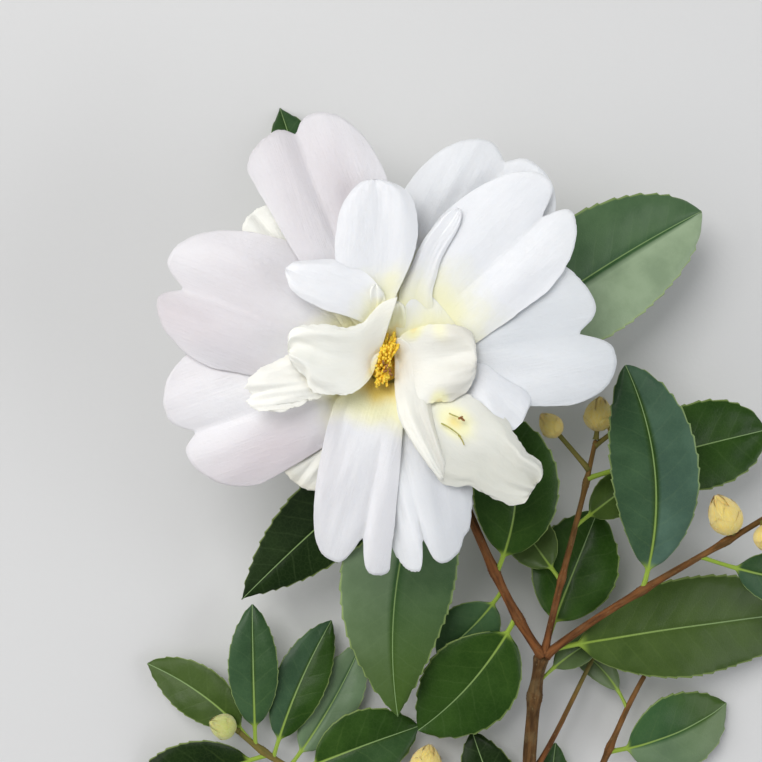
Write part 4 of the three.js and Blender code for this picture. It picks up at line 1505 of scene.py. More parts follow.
@dataclass(frozen=True)
class Bud:
    """One bud of overlapping silky scales.

    The bud sits on its limb at a fraction of the curve and points along towards. gap is how far its
    foot stands from the limb's axis.
    """

    name: str
    on: str
    at: float
    towards: Point
    length: float
    width: float
    gap: float
    tone: BudTone
    scale_count: int = 11

    SCALE_COLUMNS = 17
    SCALE_ROWS = 18
    SCALE_THICKNESS = 0.13
    STALK_RADIUS = 0.5
    STALK_GREEN = 0.6

    def patches(self, limb: Limb) -> list[Patch]:
        """Build the bud's scales, core and stalk.

        Args:
            limb: The limb that carries the bud.

        Returns:
            The bud's parts.
        """
        axis = unit(np.array(self.towards))
        foot = limb.point(self.at)[0]
        base = foot + axis * self.gap
        side = unit(np.cross(UP, axis) + np.array([1e-6, 0.0, 0.0]))
        basis = np.stack([side, np.cross(axis, side), axis])
        made = [self._scale(index, base, basis) for index in range(self.scale_count)]
        k = np.linspace(0.0, 1.0, 18)
        core = 0.9 * self._profile(k)
        made.append(tube(base + k[:, None] * self.length * 0.97 * axis, core, 20, k * self.length))
        steps = np.linspace(0.0, 1.0, 10)[:, None]
        stalk = foot + steps * (self.gap + 0.4) * axis
        thick = self.STALK_RADIUS * (1.0 + 0.5 * np.exp(-steps[:, 0] * 5.0))
        twig = tube(stalk, thick, 14, steps[:, 0] * self.gap)
        twig.slots = [1] * len(twig.faces)
        twig.marks["green"] = np.full(len(twig.points), self.STALK_GREEN)
        made.append(twig)
        return made

    def _profile(self, k: Array) -> Array:
        """Return the bud's radius at fractions of its length."""
        safe = np.clip(k, 0.004, 0.985)
        return self.width / 2.0 * np.sin(math.pi * safe**0.8) ** 0.7

    def _scale(self, index: int, base: Array, basis: Array) -> Patch:
        """Build one scale that hugs the bud.

        Args:
            index: Its place in the spiral, 0 at the foot.
            base: The bud's foot.
            basis: The bud's two side directions and its axis.

        Returns:
            The scale.
        """
        rng = np.random.default_rng(seed_of(self.name) + index)
        order = index / (self.scale_count - 1)
        start = 0.02 + 0.3 * order
        reach = 0.42 + 0.5 * order + rng.uniform(-0.03, 0.03)
        reach = min(reach, 0.985 - start)
        across = np.linspace(-1.0, 1.0, self.SCALE_COLUMNS)[None, :]
        along = np.linspace(0.0, 1.0, self.SCALE_ROWS)[:, None]
        outline = np.sqrt(np.clip(1.0 - along**2.6, 0.0, 1.0))
        spread = (1.15 - 0.35 * order) * (0.45 + 0.55 * np.minimum(1.0, along * 3.0)) * outline
        k = start + reach * along * (1.0 - 0.12 * across**2)
        outer = 1.07 - 0.07 * order
        lift = 0.10 * (1.0 - order) * along**3 + 0.03
        keel = 0.05 * self.width * np.exp(-((across / 0.3) ** 2)) * along * (1.0 - along)
        radius = self._profile(k) * outer + lift + keel
        angle = index * GOLDEN_ANGLE + across * spread
        place = stacked(radius * np.cos(angle), radius * np.sin(angle), k * self.length)
        inner = place.copy()
        inner[..., :2] *= (1.0 - self.SCALE_THICKNESS / np.maximum(radius, 0.3))[..., None]
        grain = stacked(across * spread * self.width / 2.0, float(index), k * self.length)
        return closed_sheet(base + inner @ basis, base + place @ basis, grain, {"tip": along}, under_slot=0)


@dataclass(frozen=True)
class Calyx:
    """The cup of overlapping scales under the bloom."""

    foot_height: float = 25.4
    rim_height: float = 29.2
    rim_radius: float = 4.3
    column_top: float = 33.2
    column_radius: float = 3.1
    scale_count: int = 10
    scale_thickness: float = 0.2

    COLUMN_RINGS = 24
    COLUMN_SIDES = 24
    SCALE_COLUMNS = 15
    SCALE_ROWS = 14

    def patches(self) -> list[Patch]:
        """Build the scales and the short column that carries the petals.

        Returns:
            The calyx's parts.
        """
        made = [self._scale(index) for index in range(self.scale_count)]
        height = np.linspace(self.foot_height, self.column_top, self.COLUMN_RINGS)
        radius = self.column_radius * np.sqrt(np.clip((height - self.foot_height) / 2.0, 0.02, 1.0))
        made.append(tube(stacked(0.0, 0.0, height), radius, self.COLUMN_SIDES, height, caps=(0, 1)))
        return made

    def _scale(self, index: int) -> Patch:
        """Build one scale of the cup.

        Args:
            index: Its place in the spiral, 0 at the foot.

        Returns:
            The scale.
        """
        order = index / (self.scale_count - 1)
        across = np.linspace(-1.0, 1.0, self.SCALE_COLUMNS)[None, :]
        along = np.linspace(0.0, 1.0, self.SCALE_ROWS)[:, None]
        outline = np.sqrt(np.clip(1.0 - along**3, 0.0, 1.0))
        angle = index * GOLDEN_ANGLE + across * (0.75 - 0.15 * order) * (0.5 + 0.5 * along) * outline * 1.3
        start = self.foot_height + 0.4 * order
        height = start + (self.rim_height - start) * (0.45 + 0.55 * order) * along
        depth = self.rim_height - self.foot_height
        swell = np.sqrt(np.clip((height - self.foot_height + 0.25) / depth, 0.0, 1.2))
        radius = self.rim_radius * swell * (1.04 - 0.06 * order) + 0.35 * along**4
        outer = stacked(radius * np.cos(angle), radius * np.sin(angle), height)
        inner = outer.copy()
        inner[..., :2] *= (1.0 - self.scale_thickness / radius)[..., None]
        grain = stacked(across * 3.0, float(index), height)
        return closed_sheet(inner, outer, grain, {"tip": along}, under_slot=0)


@dataclass(frozen=True)
class Stamens:
    """The golden stamens that stand in the narrow throat, and a few that strayed onto a petal.

    The throat is a bent slit between the inner petaloids; slit holds the places that it runs through.
    gathered is how near the axis a filament's foot stands, as a share of its end's distance.
    brown and stray_sacs hold the middle of each pollen sac, and stray_filaments where each thread
    starts, what bends it and where it ends.
    """

    count: int = 150
    foot_height: float = 32.8
    shortest: float = 2.8
    longest: float = 4.9
    half_width: float = 1.5
    gathered: float = 0.35
    filament_radius: float = 0.3
    stray_radius: float = 0.16
    sac_length: float = 1.1
    sac_radius: float = 0.3
    slit: tuple[Spot, ...] = ((-0.9, -3.8), (-0.6, -1.8), (0.0, 1.6), (0.8, 3.8), (1.6, 5.2))
    brown: tuple[Point, ...] = ((-0.3, 0.5, 37.9), (0.3, -0.2, 38.2), (0.9, -0.9, 38.0), (0.1, -1.1, 38.1),
                                (1.1, -1.7, 37.8))
    stray_sacs: tuple[Point, ...] = ((14.3, -10.0, 41.2), (14.7, -10.3, 41.1))
    stray_filaments: tuple[tuple[Point, Point, Point], ...] = (
        ((10.7, -11.1, 40.0), (12.6, -11.9, 40.9), (14.4, -13.6, 40.8)),
        ((12.2, -9.2, 40.4), (13.0, -9.6, 41.3), (14.2, -10.0, 41.2)),
        ((13.9, -13.3, 40.6), (14.6, -14.0, 41.0), (15.0, -15.2, 40.8)),
    )

    def filaments(self) -> list[Patch]:
        """Build the golden filaments of the throat.

        Returns:
            One tube for each filament.
        """
        rng = np.random.default_rng(seed_of("stamens"))
        corners = np.array(self.slit)
        stations = np.linspace(0.0, 1.0, len(corners))
        made: list[Patch] = []
        for index in range(self.count):
            share = (index + 0.5) / self.count
            middle = [np.interp(share, stations, corners[:, axis]) for axis in (0, 1)]
            tall = rng.uniform(self.shortest, self.longest)
            end = np.array([*middle, self.foot_height + tall])
            end[:2] += rng.uniform(-0.9, 0.9, 2) * self.half_width
            foot = np.array([end[0] * self.gathered, end[1] * self.gathered, self.foot_height])
            steps = np.linspace(0.0, 1.0, 9)
            bow = 4.0 * steps * (1.0 - steps)
            line = foot + steps[:, None] * (end - foot) + bow[:, None] * np.array([0.0, 0.0, 0.8])
            made.append(tube(line, self.filament_radius - 0.04 * steps, 7, steps * tall))
        return made

    def sacs(self) -> list[Patch]:
        """Build the brown pollen sacs, in the throat and astray."""
        rng = np.random.default_rng(seed_of("sacs"))
        return [self._sac(np.array(place), rng) for place in (*self.brown, *self.stray_sacs)]

    def strays(self) -> list[Patch]:
        """Build the filaments that lie on a petal."""
        return [self._thread(corners) for corners in self.stray_filaments]

    def _thread(self, corners: tuple[Point, Point, Point]) -> Patch:
        """Build one thin bent thread.

        Args:
            corners: Where it starts, the point that bends it and where it ends.

        Returns:
            The thread.
        """
        first, middle, last = (np.array(corner) for corner in corners)
        steps = np.linspace(0.0, 1.0, 12)
        share = steps[:, None]
        line = (1.0 - share) ** 2 * first + 2.0 * share * (1.0 - share) * middle + share**2 * last
        return tube(line, self.stray_radius - 0.05 * steps, 7, steps * 4.0)

    def _sac(self, place: Array, rng: np.random.Generator) -> Patch:
        """Build one pollen sac, a short two-lobed bean.

        Args:
            place: Its middle.
            rng: Where its lie comes from.

        Returns:
            The sac.
        """
        lie = rng.uniform(0.0, 2.0 * math.pi)
        axis = np.array([math.cos(lie), math.sin(lie), rng.uniform(-0.4, 0.4)])
        steps = np.linspace(-1.0, 1.0, 9)
        line = place + steps[:, None] * axis * self.sac_length / 2.0
        angle = np.arange(10) * 2.0 * math.pi / 10
        body = np.sqrt(np.clip(1.0 - steps**2, 0.03, 1.0))[:, None]
        lobes = 1.0 - 0.25 * np.cos(angle) ** 8
        return tube(line, self.sac_radius * body * lobes[None, :], 10, steps * self.sac_length / 2.0 + lie)


LIMBS = (
    Limb("main_stem", ((27.7, -124, 1.55), (32.1, -102.2, 4.9), (28.2, -80.4, 8.9), (32.2, -59.2, 15)),
         (1.75, 1.2), ((0.42, 0.3), (0.86, 0.35), (1.0, 0.5)), Bark.OLD, relief=0.10),
    Limb("right_stem", ((33, -59.2, 15), (47.7, -46.1, 20.8), (65.6, -37.4, 24.4), (82.5, -25.7, 25.5)),
         (0.85, 0.5), ((0.4, 0.25), (0.72, 0.25)), greenness=0.12),
    Limb("bloom_stem", ((32.2, -59.2, 15), (19.4, -42.1, 20.1), (13.6, -13.9, 22.2), (0.6, -0.7, 25)),
         (0.95, 0.8), ((0.14, 0.25), (0.3, 0.25))),
    Limb("middle_stem", ((32.8, -58.6, 15), (35.3, -44.1, 18.2), (39.7, -29.5, 19), (42.5, -14.8, 21)),
         (0.75, 0.45), ((0.35, 0.2), (0.8, 0.2)), greenness=0.2),
    Limb("lower_left_stem", ((28.9, -110, 3.9), (8, -92, 6), (-14, -92, 6), (-30.6, -76.2, 8)),
         (0.95, 0.55), ((0.6, 0.2), (0.9, 0.25)), greenness=0.5),
    Limb("lower_right_stem", ((29.2, -108.5, 4.2), (43.5, -95.5, 7), (46, -79, 7.1), (54.4, -64.5, 8)),
         (0.9, 0.5), ((0.66, 0.25),), greenness=0.1),
    Limb("back_stem", ((31.4, -84.2, 8.6), (36.7, -75.7, 8.4), (40.3, -67, 7.6), (45.3, -58.5, 6)),
         (0.6, 0.4), (), greenness=0.5),
)

LIMB_NAMED = {limb.name: limb for limb in LIMBS}

LEAVES = (
    Leaf("leaf_bloom_right", "bloom_stem", 0.83, (65.6, 32.1, 12), 25, 2, 2.4, 4, 8, 13,
         LeafTone.BLUE, (0.12, 0.85), taper=0.66),
    Leaf("leaf_bloom_top", "bloom_stem", 0.93, (-22.4, 55.4, 0.2), 19, 1.5, 1.5, 0, 6, 7,
         LeafTone.MID, (0.03, 0.05)),
    Leaf("leaf_bloom_left", "bloom_stem", 0.74, (-29.5, -48.2, 13), 17, 3, -1.2, -6, 8, 6,
         LeafTone.DARK, (0.0, 0.02), taper=1.0),
    Leaf("leaf_bloom_below", "bloom_stem", 0.7, (2.7, -72.1, 14), 23.5, -0.5, -4.2, 3, 6, 3,
         LeafTone.BLUE, (0.2, 0.7), 1.0, taper=0.95, ripe=0.9),
    Leaf("leaf_fork_left", "bloom_stem", 0.15, (6.9, -76.2, 8), 19, 0.5, 1.8, 0, 5, 4,
         LeafTone.MID),
    Leaf("leaf_fork_under", "bloom_stem", 0.24, (10.8, -60.5, 8), 12, 0, 1, 0, 5, 4,
         LeafTone.BLUE, (0.05, 0.05)),
    Leaf("leaf_stem_right", "bloom_stem", 0.29, (23.4, -9.5, 26), 17.5, 1, -3.2, 5, 6, 4,
         LeafTone.MID),
    Leaf("leaf_upright", "right_stem", 0.4, (47.6, 0.1, 27), 17.5, 1.5, -4, -4, 7, 4,
         LeafTone.MID, (0.11, 0.24), 0.5, taper=0.7),
    Leaf("leaf_far_right", "middle_stem", 0.82, (78.7, -13.1, 13), 18, 1, 0.5, 0, 5, 8,
         LeafTone.MID, taper=0.6),
    Leaf("leaf_right_large", "right_stem", 0.04, (91.7, -52.3, 0.2), 21, 2.5, 1, 4, 6, 5,
         LeafTone.OLIVE),
    Leaf("leaf_middle_under", "middle_stem", 0.06, (44.5, -30, 9), 18, -1, 0, 0, 5, 4,
         LeafTone.MID),
    Leaf("leaf_middle_small", "middle_stem", 0.34, (26.2, -30.2, 10), 10, 0, 0, 0, 5, 3.5,
         LeafTone.OLIVE, (0.03, 0.03)),
    Leaf("leaf_middle_right", "middle_stem", 0.6, (54.8, -21.4, 11), 9, 0, 0, 0, 5, 4,
         LeafTone.OLIVE),
    Leaf("leaf_fork_small", "main_stem", 0.9, (46.5, -55.5, 9.5), 6.5, 0.3, 1, 0, 5, 5,
         LeafTone.OLIVE, (0.1, 0.1)),
    Leaf("leaf_low_hidden", "lower_right_stem", 0.84, (37.3, -58.1, 1.5), 6, 0, -2, 0, 5, 4,
         LeafTone.OLIVE, (0.25, 0.25)),
    Leaf("leaf_low_right", "lower_right_stem", 0.64, (72.8, -71.5, 2), 17, 1, -1.5, 10, 5, 4,
         LeafTone.BLUE, (0.0, 0.3), ripe=0.85),
    Leaf("leaf_right_edge", "right_stem", 0.62, (92, -44.5, 16), 11, 1, -1, 0, 5, 8,
         LeafTone.MID, (0.05, 0.1)),
    Leaf("leaf_low_tip", "lower_right_stem", 0.2, (36.2, -79.6, 4), 8, 0, 1, 0, 5, 4,
         LeafTone.MID, (0.03, 0.03)),
    Leaf("leaf_low_middle", "main_stem", 0.35, (18.5, -77, 4.5), 12, 1, 1, 0, 5, 4,
         LeafTone.DARK),
    Leaf("leaf_left_upright", "lower_left_stem", 0.93, (-27.7, -49.7, 8), 10.5, 1, 0, 0, 6, 4,
         LeafTone.MID, (0.07, 0.05)),
    Leaf("leaf_left_slim", "lower_left_stem", 0.86, (-11.2, -53.6, 4), 11, 1, 1, 0, 6, 4,
         LeafTone.MID, (0.09, 0.0)),
    Leaf("leaf_left_pale", "lower_left_stem", 0.8, (-4.8, -58.5, 2), 11, 0, -1, 0, 6, 4,
         LeafTone.BLUE, (0.3, 0.3)),
    Leaf("leaf_left_wide", "lower_left_stem", 0.77, (7.3, -75.8, 5), 15, 1, 0.5, 0, 6, 4,
         LeafTone.MID, (0.0, 0.03)),
    Leaf("leaf_left_floor", "lower_left_stem", 0.88, (-54.5, -91, 0.2), 15, 1.5, 0, 0, 5, 4,
         LeafTone.DARK),
    Leaf("leaf_left_outer", "lower_left_stem", 0.94, (-50.5, -63, 2.6), 11, 1, -2, 0, 5, 4,
         LeafTone.OLIVE),
)

PETALS = (
    Petal("petal_back_left", 131, 39, (6.5, 6.5), (0.7, 0.7), 0.7, 0, 1, tone=PetalTone.CREAM,
          glow=0.3),
    Petal("petal_back_low", 233, 28.5, (6.5, 6.5), (0.7, 0.7), 0.7, 0, 1, tone=PetalTone.CREAM,
          shade=(0.5, 0.5), age=0.3),
    Petal("petal_back_top", 63, 47.9, (12.2, 16.2), (0.64, 0.77), 0.59, 0, 1, lean=-1.8,
          notches=((-0.17, 2.8, 0.13),), shade=(0.4, 0.4), cool=0.9, curl=0.3, dome=0.3),
    Petal("petal_left_low", 199, 42.8, (13.8, 15.4), (0.74, 0.63), 0.4, 1, 3, lean=-2,
          notches=((0.02, 4.1, 0.13),), shade=(1.0, 0.45), cool=0.1, crease=0.9, dome=0.7),
    Petal("petal_right", 10, 43.3, (17.9, 13.8), (0.67, 0.69), 0.4, 1, 2, lean=-3.6,
          notches=((-0.03, 5.7, 0.13),), shade=(0.55, 0.6), cool=1.0, crease=0.8, dome=0.6),
    Petal("petal_low_middle", 284, 40.2, (10.9, 7.1), (0.56, 0.8), 0.76, 1, 2, lean=-1.4,
          notches=((-0.15, 6.3, 0.14), (0.62, 0.8, 0.1)), shade=(1.0, 0.05), cool=0.8, crease=0.8,
          frill=0.1, glow=0.3, base=0.4),
    Petal("petal_left_top", 159, 46.4, (12.3, 15.6), (0.69, 0.47), 0.45, 2, 3, lean=-1.6,
          notches=((0.02, 5.1, 0.13),), shade=(0.95, 0.65), cool=0.15, crease=0.8, dome=0.6),
    Petal("petal_low_left", 254, 38.7, (11.6, 7.5), (0.9, 0.3), 0.85, 2, 2.5, lean=2.3,
          notches=((0.43, 6.6, 0.13),), shade=(0.6, 0.7), cool=0.5, crease=0.7, dome=0.6, glow=0.22,
          base=0.4, warmth=1.4),
    Petal("petal_top_right", 44, 47.5, (13.0, 11.4), (0.53, 0.71), 0.46, 2, 2, lean=1.9,
          notches=((-0.04, 6.1, 0.13),), shade=(0.05, 0.05), cool=1.0, crease=0.3, dome=0.4, glow=0.46,
          base=0.35, ripple=0.25),
    Petal("petal_top_left", 110, 50, (12.0, 12.5), (0.89, 0.64), 0.66, 3, 2.5, lean=-1.2,
          notches=((0.08, 2.5, 0.13),), shade=(0.95, 0.85), cool=0.25, crease=1.0, dome=0.6,
          ripple=0.2),
    Petal("petal_low_right", reach=37.5, whorl=2.5, droop=1.5, tone=PetalTone.CREAM,
          edges=(((3.2, -1.3), (8.6, -4.0), (13.5, -5.1), (17.3, -6.3), (20.6, -8.6), (23.4, -10.9),
                  (24.6, -13.1), (25.9, -14.7), (26.7, -16.2), (28.4, -17.5), (29.7, -18.7),
                  (30.1, -20.4), (29.5, -21.9), (28.4, -22.7)),
                 ((2.1, -5.9), (2.5, -9.7), (4.2, -13.1), (6.5, -16.8), (8.6, -20.0), (11.1, -22.5),
                  (13.5, -22.9), (16.0, -22.9), (17.9, -24.2), (19.6, -25.1), (22.1, -25.9),
                  (24.6, -26.5), (26.9, -25.9), (27.4, -24.2), (27.8, -22.7))),
          notches=((0.3, 1.5, 0.08),), frill=0.2, ripple=0.6, crease=0.5, shade=(1.0, 1.0), cool=0.7,
          glow=0.3, warmth=0.5, spots=((0.25, 0.38, 0.85), (0.7, 0.2, 0.5))),
    Petal("petal_inner_top", reach=34.7, whorl=4, droop=0.5, cup=0.2,
          edges=(((-4.4, 6.6), (-6.6, 8.9), (-8.1, 12.3), (-8.9, 16.1), (-9.3, 19.5), (-9.5, 22.7),
                  (-9.1, 25.9), (-8.5, 29.0), (-7.4, 31.4), (-5.9, 33.3), (-4.0, 34.7), (-1.9, 35.0)),
                 ((0.2, 9.3), (1.3, 11.5), (2.5, 14.0), (3.6, 16.3), (4.7, 18.9), (5.7, 21.8),
                  (6.2, 24.6), (6.1, 27.8), (5.5, 30.5), (4.4, 32.6), (2.5, 33.9), (0.4, 34.7),
                  (-1.5, 35.0))),
          shade=(0.35, 0.3), cool=0.8, ripple=0.25, glow=0.5, warmth=0.8, spots=((-0.6, 0.3, 0.15),)),
    Petal("petaloid_left_low", 190, 26.7, (5.3, 5.7), (0.69, 0.35), 0.7, 4, 0, cup=0.3, lean=1.6,
          tone=PetalTone.CREAM, frill=0.25, ripple=0.45, notches=((0.2, 1.4, 0.12),), shade=(0.1, 0.1),
          cool=0.0, glow=0.4, foot=4.4),
    Petal("petaloid_right", reach=18, whorl=4, droop=32, tone=PetalTone.CREAM,
          edges=(((2.3, 4.8), (3.6, 6.1), (5.7, 7.1), (8.6, 7.6), (12.0, 7.8), (14.7, 7.4), (16.4, 6.3),
                  (17.2, 4.4), (17.5, 2.1)),
                 ((2.3, -7.0), (4.8, -7.6), (7.4, -7.4), (9.7, -7.2), (12.0, -6.9), (14.1, -6.1),
                  (15.8, -4.8), (17.0, -2.7), (17.5, -0.2))),
          frill=0.12, ripple=0.5, dome=0.4, curl=-0.5, shade=(0.5, 0.7), cool=0.3, warmth=0.36,
          spots=((1.0, 0.2, 0.8), (0.9, 0.45, 0.4), (-1.0, 0.42, 0.85))),
    Petal("petaloid_top", reach=27, whorl=2.75, droop=2,
          edges=(((2.1, 2.8), (2.3, 7.6), (2.5, 11.6), (2.8, 14.1), (3.6, 16.2), (4.9, 18.8),
                  (6.3, 21.9), (7.8, 24.5), (9.9, 27.0), (12.3, 29.3), (13.7, 30.0)),
                 ((7.4, 2.8), (8.2, 5.5), (8.9, 8.6), (9.1, 11.2), (9.1, 14.1), (9.9, 17.1),
                  (10.6, 19.8), (11.6, 21.9), (12.9, 24.1), (14.1, 26.4), (14.6, 28.3), (14.4, 29.6))),
          frill=0.02, ripple=0.15, dome=0.3, curl=-0.35, cool=0.8, glow=0.6,
          warmth=1.0, tilt=0.3),
    Petal("petaloid_top_left", reach=23.2, whorl=4.7,
          edges=(((-3.6, 7.4), (-5.3, 8.5), (-7.6, 9.3), (-11.4, 10.4), (-14.2, 11.7), (-16.5, 13.1),
                  (-17.8, 14.4), (-18.4, 16.1), (-18.8, 17.6)),
                 ((0.2, 12.3), (-1.3, 15.0), (-3.4, 17.2), (-6.3, 18.9), (-9.5, 19.9), (-12.7, 19.9),
                  (-15.3, 19.7), (-17.4, 19.3), (-18.6, 18.4))),
          frill=0.03, ripple=0.15, dome=0.3, curl=-0.5, shade=(0.1, 0.15), cool=0.8, glow=0.5,
          warmth=0.6, tilt=0.9),
    Petal("petaloid_left", reach=19, whorl=5.6, droop=18, tone=PetalTone.CREAM,
          edges=(((-2.3, -1.7), (-3.4, -3.2), (-5.1, -4.7), (-7.4, -5.7), (-10.0, -5.7), (-12.5, -5.3),
                  (-14.4, -4.2), (-14.9, -2.7), (-16.2, -1.2), (-17.8, 0.5), (-18.3, 2.4)),
                 ((2.4, 12.8), (0.9, 12.4), (-0.9, 11.5), (-2.6, 9.8), (-4.3, 7.9), (-7.4, 7.3),
                  (-10.8, 7.5), (-14.2, 7.5), (-16.4, 7.3), (-17.8, 6.6), (-18.3, 4.7), (-18.3, 3.2))),
          frill=0.18, ripple=0.6, dome=0.5, curl=-0.35, warmth=0.2, glow=0.4,
          spots=((0.7, 0.04, 0.5),)),
)

# Small petaloids that are folded in between the larger ones
SMALL_PETALOIDS = (
    Petal("petaloid_strip", reach=26, whorl=4.1, droop=17,
          edges=(((2.6, 5.3), (4.6, 4.1), (6.4, 1.6), (7.4, -1.3), (8.2, -4.4), (8.7, -7.4), (9.3, -10.4),
                  (10.1, -13.5), (10.8, -16.1), (11.6, -18.8), (11.8, -21.1)),
                 ((2.1, 5.1), (1.8, 3.2), (1.9, 0.8), (1.9, -1.7), (1.9, -4.8), (2.1, -7.4), (2.7, -10.1),
                  (4.4, -13.3), (6.5, -16.5), (8.6, -19.6), (10.6, -21.8))),
          tone=PetalTone.CREAM, frill=0.06, ripple=0.3, dome=0.5, curl=-0.5, shade=(0.6, 0.3), cool=0.4,
          warmth=0.15, tilt=-1.0, spots=((0.9, 0.4, 0.5),)),
    Petal("petaloid_throat", reach=12, whorl=3.4,
          edges=(((-1.2, 4.0), (-0.8, 6.0), (-0.1, 8.0), (0.8, 10.0), (1.7, 11.6), (2.3, 12.2)),
                 ((4.4, 4.0), (4.6, 6.0), (4.6, 8.0), (4.3, 10.0), (3.5, 11.6), (2.5, 12.2))),
          tone=PetalTone.CREAM, frill=0.0, ripple=0.1, dome=0.2, curl=-0.7, glow=0.8,
          warmth=1.15),
    Petal("petaloid_fan", reach=14, whorl=3.6, droop=60,
          edges=(((2.2, 4.6), (2.1, 7.5), (2.3, 10.5), (3.2, 13.4), (5.0, 15.8), (7.4, 16.8)),
                 ((12.8, 5.0), (14.8, 6.6), (15.8, 8.8), (15.2, 11.6), (13.2, 14.2), (10.4, 16.2),
                  (7.8, 16.8))),
          frill=0.0, ripple=0.1, dome=0.2, curl=-1.7, glow=0.8, warmth=0.8,
          tilt=0.5),
    Petal("petaloid_streak", reach=6, whorl=4.7,
          edges=(((-2.6, 8.9), (-3.0, 11.1), (-3.2, 13.4), (-2.8, 14.7), (-2.1, 15.3)),
                 ((-0.2, 10.0), (-0.0, 11.5), (-0.0, 13.0), (-0.6, 14.3), (-1.5, 15.3))),
          tone=PetalTone.CREAM, frill=0.03, ripple=0.1, dome=0.3, curl=-0.5, foot=0.0,
          glow=0.7, warmth=1.0),
    Petal("petaloid_right_low", reach=26, whorl=1.5, droop=2,
          edges=(((14.7, 1.0), (20.1, -0.2), (24.3, -2.5), (27.3, -4.8), (28.1, -6.7), (27.3, -9.0)),
                 ((14.7, -5.1), (17.4, -7.4), (20.1, -9.7), (22.4, -11.3), (24.3, -12.4),
                  (26.2, -10.9))),
          frill=0.03, ripple=0.2, dome=0.2, curl=-0.3, shade=(0.5, 0.4), cool=0.9, warmth=0.1,
          tilt=-1.2),
)

BUDS = (
    Bud("bud_low_left", "lower_left_stem", 1, (-0.85, 0.35, 0.35), 6.2, 5, 0.6, BudTone.GREEN),
    Bud("bud_low_middle", "lower_left_stem", 0.36, (0.2, 0.98, 0), 8, 6.4, 9, BudTone.CREAM, 13),
    Bud("bud_middle_left", "middle_stem", 1, (0.1, 0.98, 0.1), 7.3, 5.6, 1.6, BudTone.CREAM),
    Bud("bud_middle_right", "middle_stem", 0.97, (0.8, 0.57, -0.2), 6.6, 5, 4, BudTone.CREAM),
    Bud("bud_middle_back", "middle_stem", 0.86, (-0.65, 0.76, -0.05), 6, 4.4, 9, BudTone.CREAM),
    Bud("bud_right", "right_stem", 0.75, (-0.42, 0.8, 0.35), 9.6, 6.2, 0.8, BudTone.CREAM, 13),
    Bud("bud_right_far", "right_stem", 0.85, (0.3, -0.9, 0.1), 6.4, 5, 0.8, BudTone.CREAM),
)


OLD_BARK = BarkFinish("old_bark_skin", (0.052, 0.026, 0.009), (0.135, 0.070, 0.024),
                      (0.18, 0.13, 0.06), 0.4, 0.12)
YOUNG_BARK = BarkFinish("young_bark_skin", (0.072, 0.028, 0.009), (0.19, 0.072, 0.022),
                        (0.20, 0.12, 0.05), 0.2, 0.06)


@dataclass
class Stems:
    """The woody limbs of the branch."""

    shop: Workshop
    effects: Effects
    young_bark: bpy.types.Material

    def build(self) -> None:
        """Make every limb in its bark."""
        barks = {Bark.OLD: OLD_BARK.build(self.effects), Bark.YOUNG: self.young_bark}
        cut = CutWoodFinish().build(self.effects)
        for limb in LIMBS:
            finishes = [barks[limb.bark], cut]
            self.shop.make_piece(limb.name + "_bark", [limb.patch()], finishes, limb.name, limb.bark.value)


@dataclass
class Foliage:
    """The leaves of the branch."""

    shop: Workshop
    effects: Effects

    def build(self) -> None:
        """Make every leaf in its green."""
        greens = {
            LeafTone.DARK: LeafFinish("leaf_dark_skin", (0.006, 0.016, 0.003), (0.012, 0.028, 0.005),
                                      gloss=0.12),
            LeafTone.MID: LeafFinish("leaf_mid_skin", (0.014, 0.043, 0.004), (0.027, 0.069, 0.008),
                                     wax=(0.25, 0.41, 0.44)),
            LeafTone.BLUE: LeafFinish("leaf_blue_skin", (0.028, 0.078, 0.026), (0.044, 0.105, 0.036)),
            LeafTone.OLIVE: LeafFinish("leaf_olive_skin", (0.038, 0.072, 0.012), (0.056, 0.098, 0.019)),
        }
        tops = {tone: green.build(self.effects) for tone, green in greens.items()}
        under = LeafUnderFinish().build(self.effects)
        for leaf in LEAVES:
            patch = leaf.patch(LIMB_NAMED[leaf.on])
            name = leaf.name + "_blade"
            self.shop.make_piece(name, [patch], [tops[leaf.tone], under], leaf.name, leaf.tone.value)


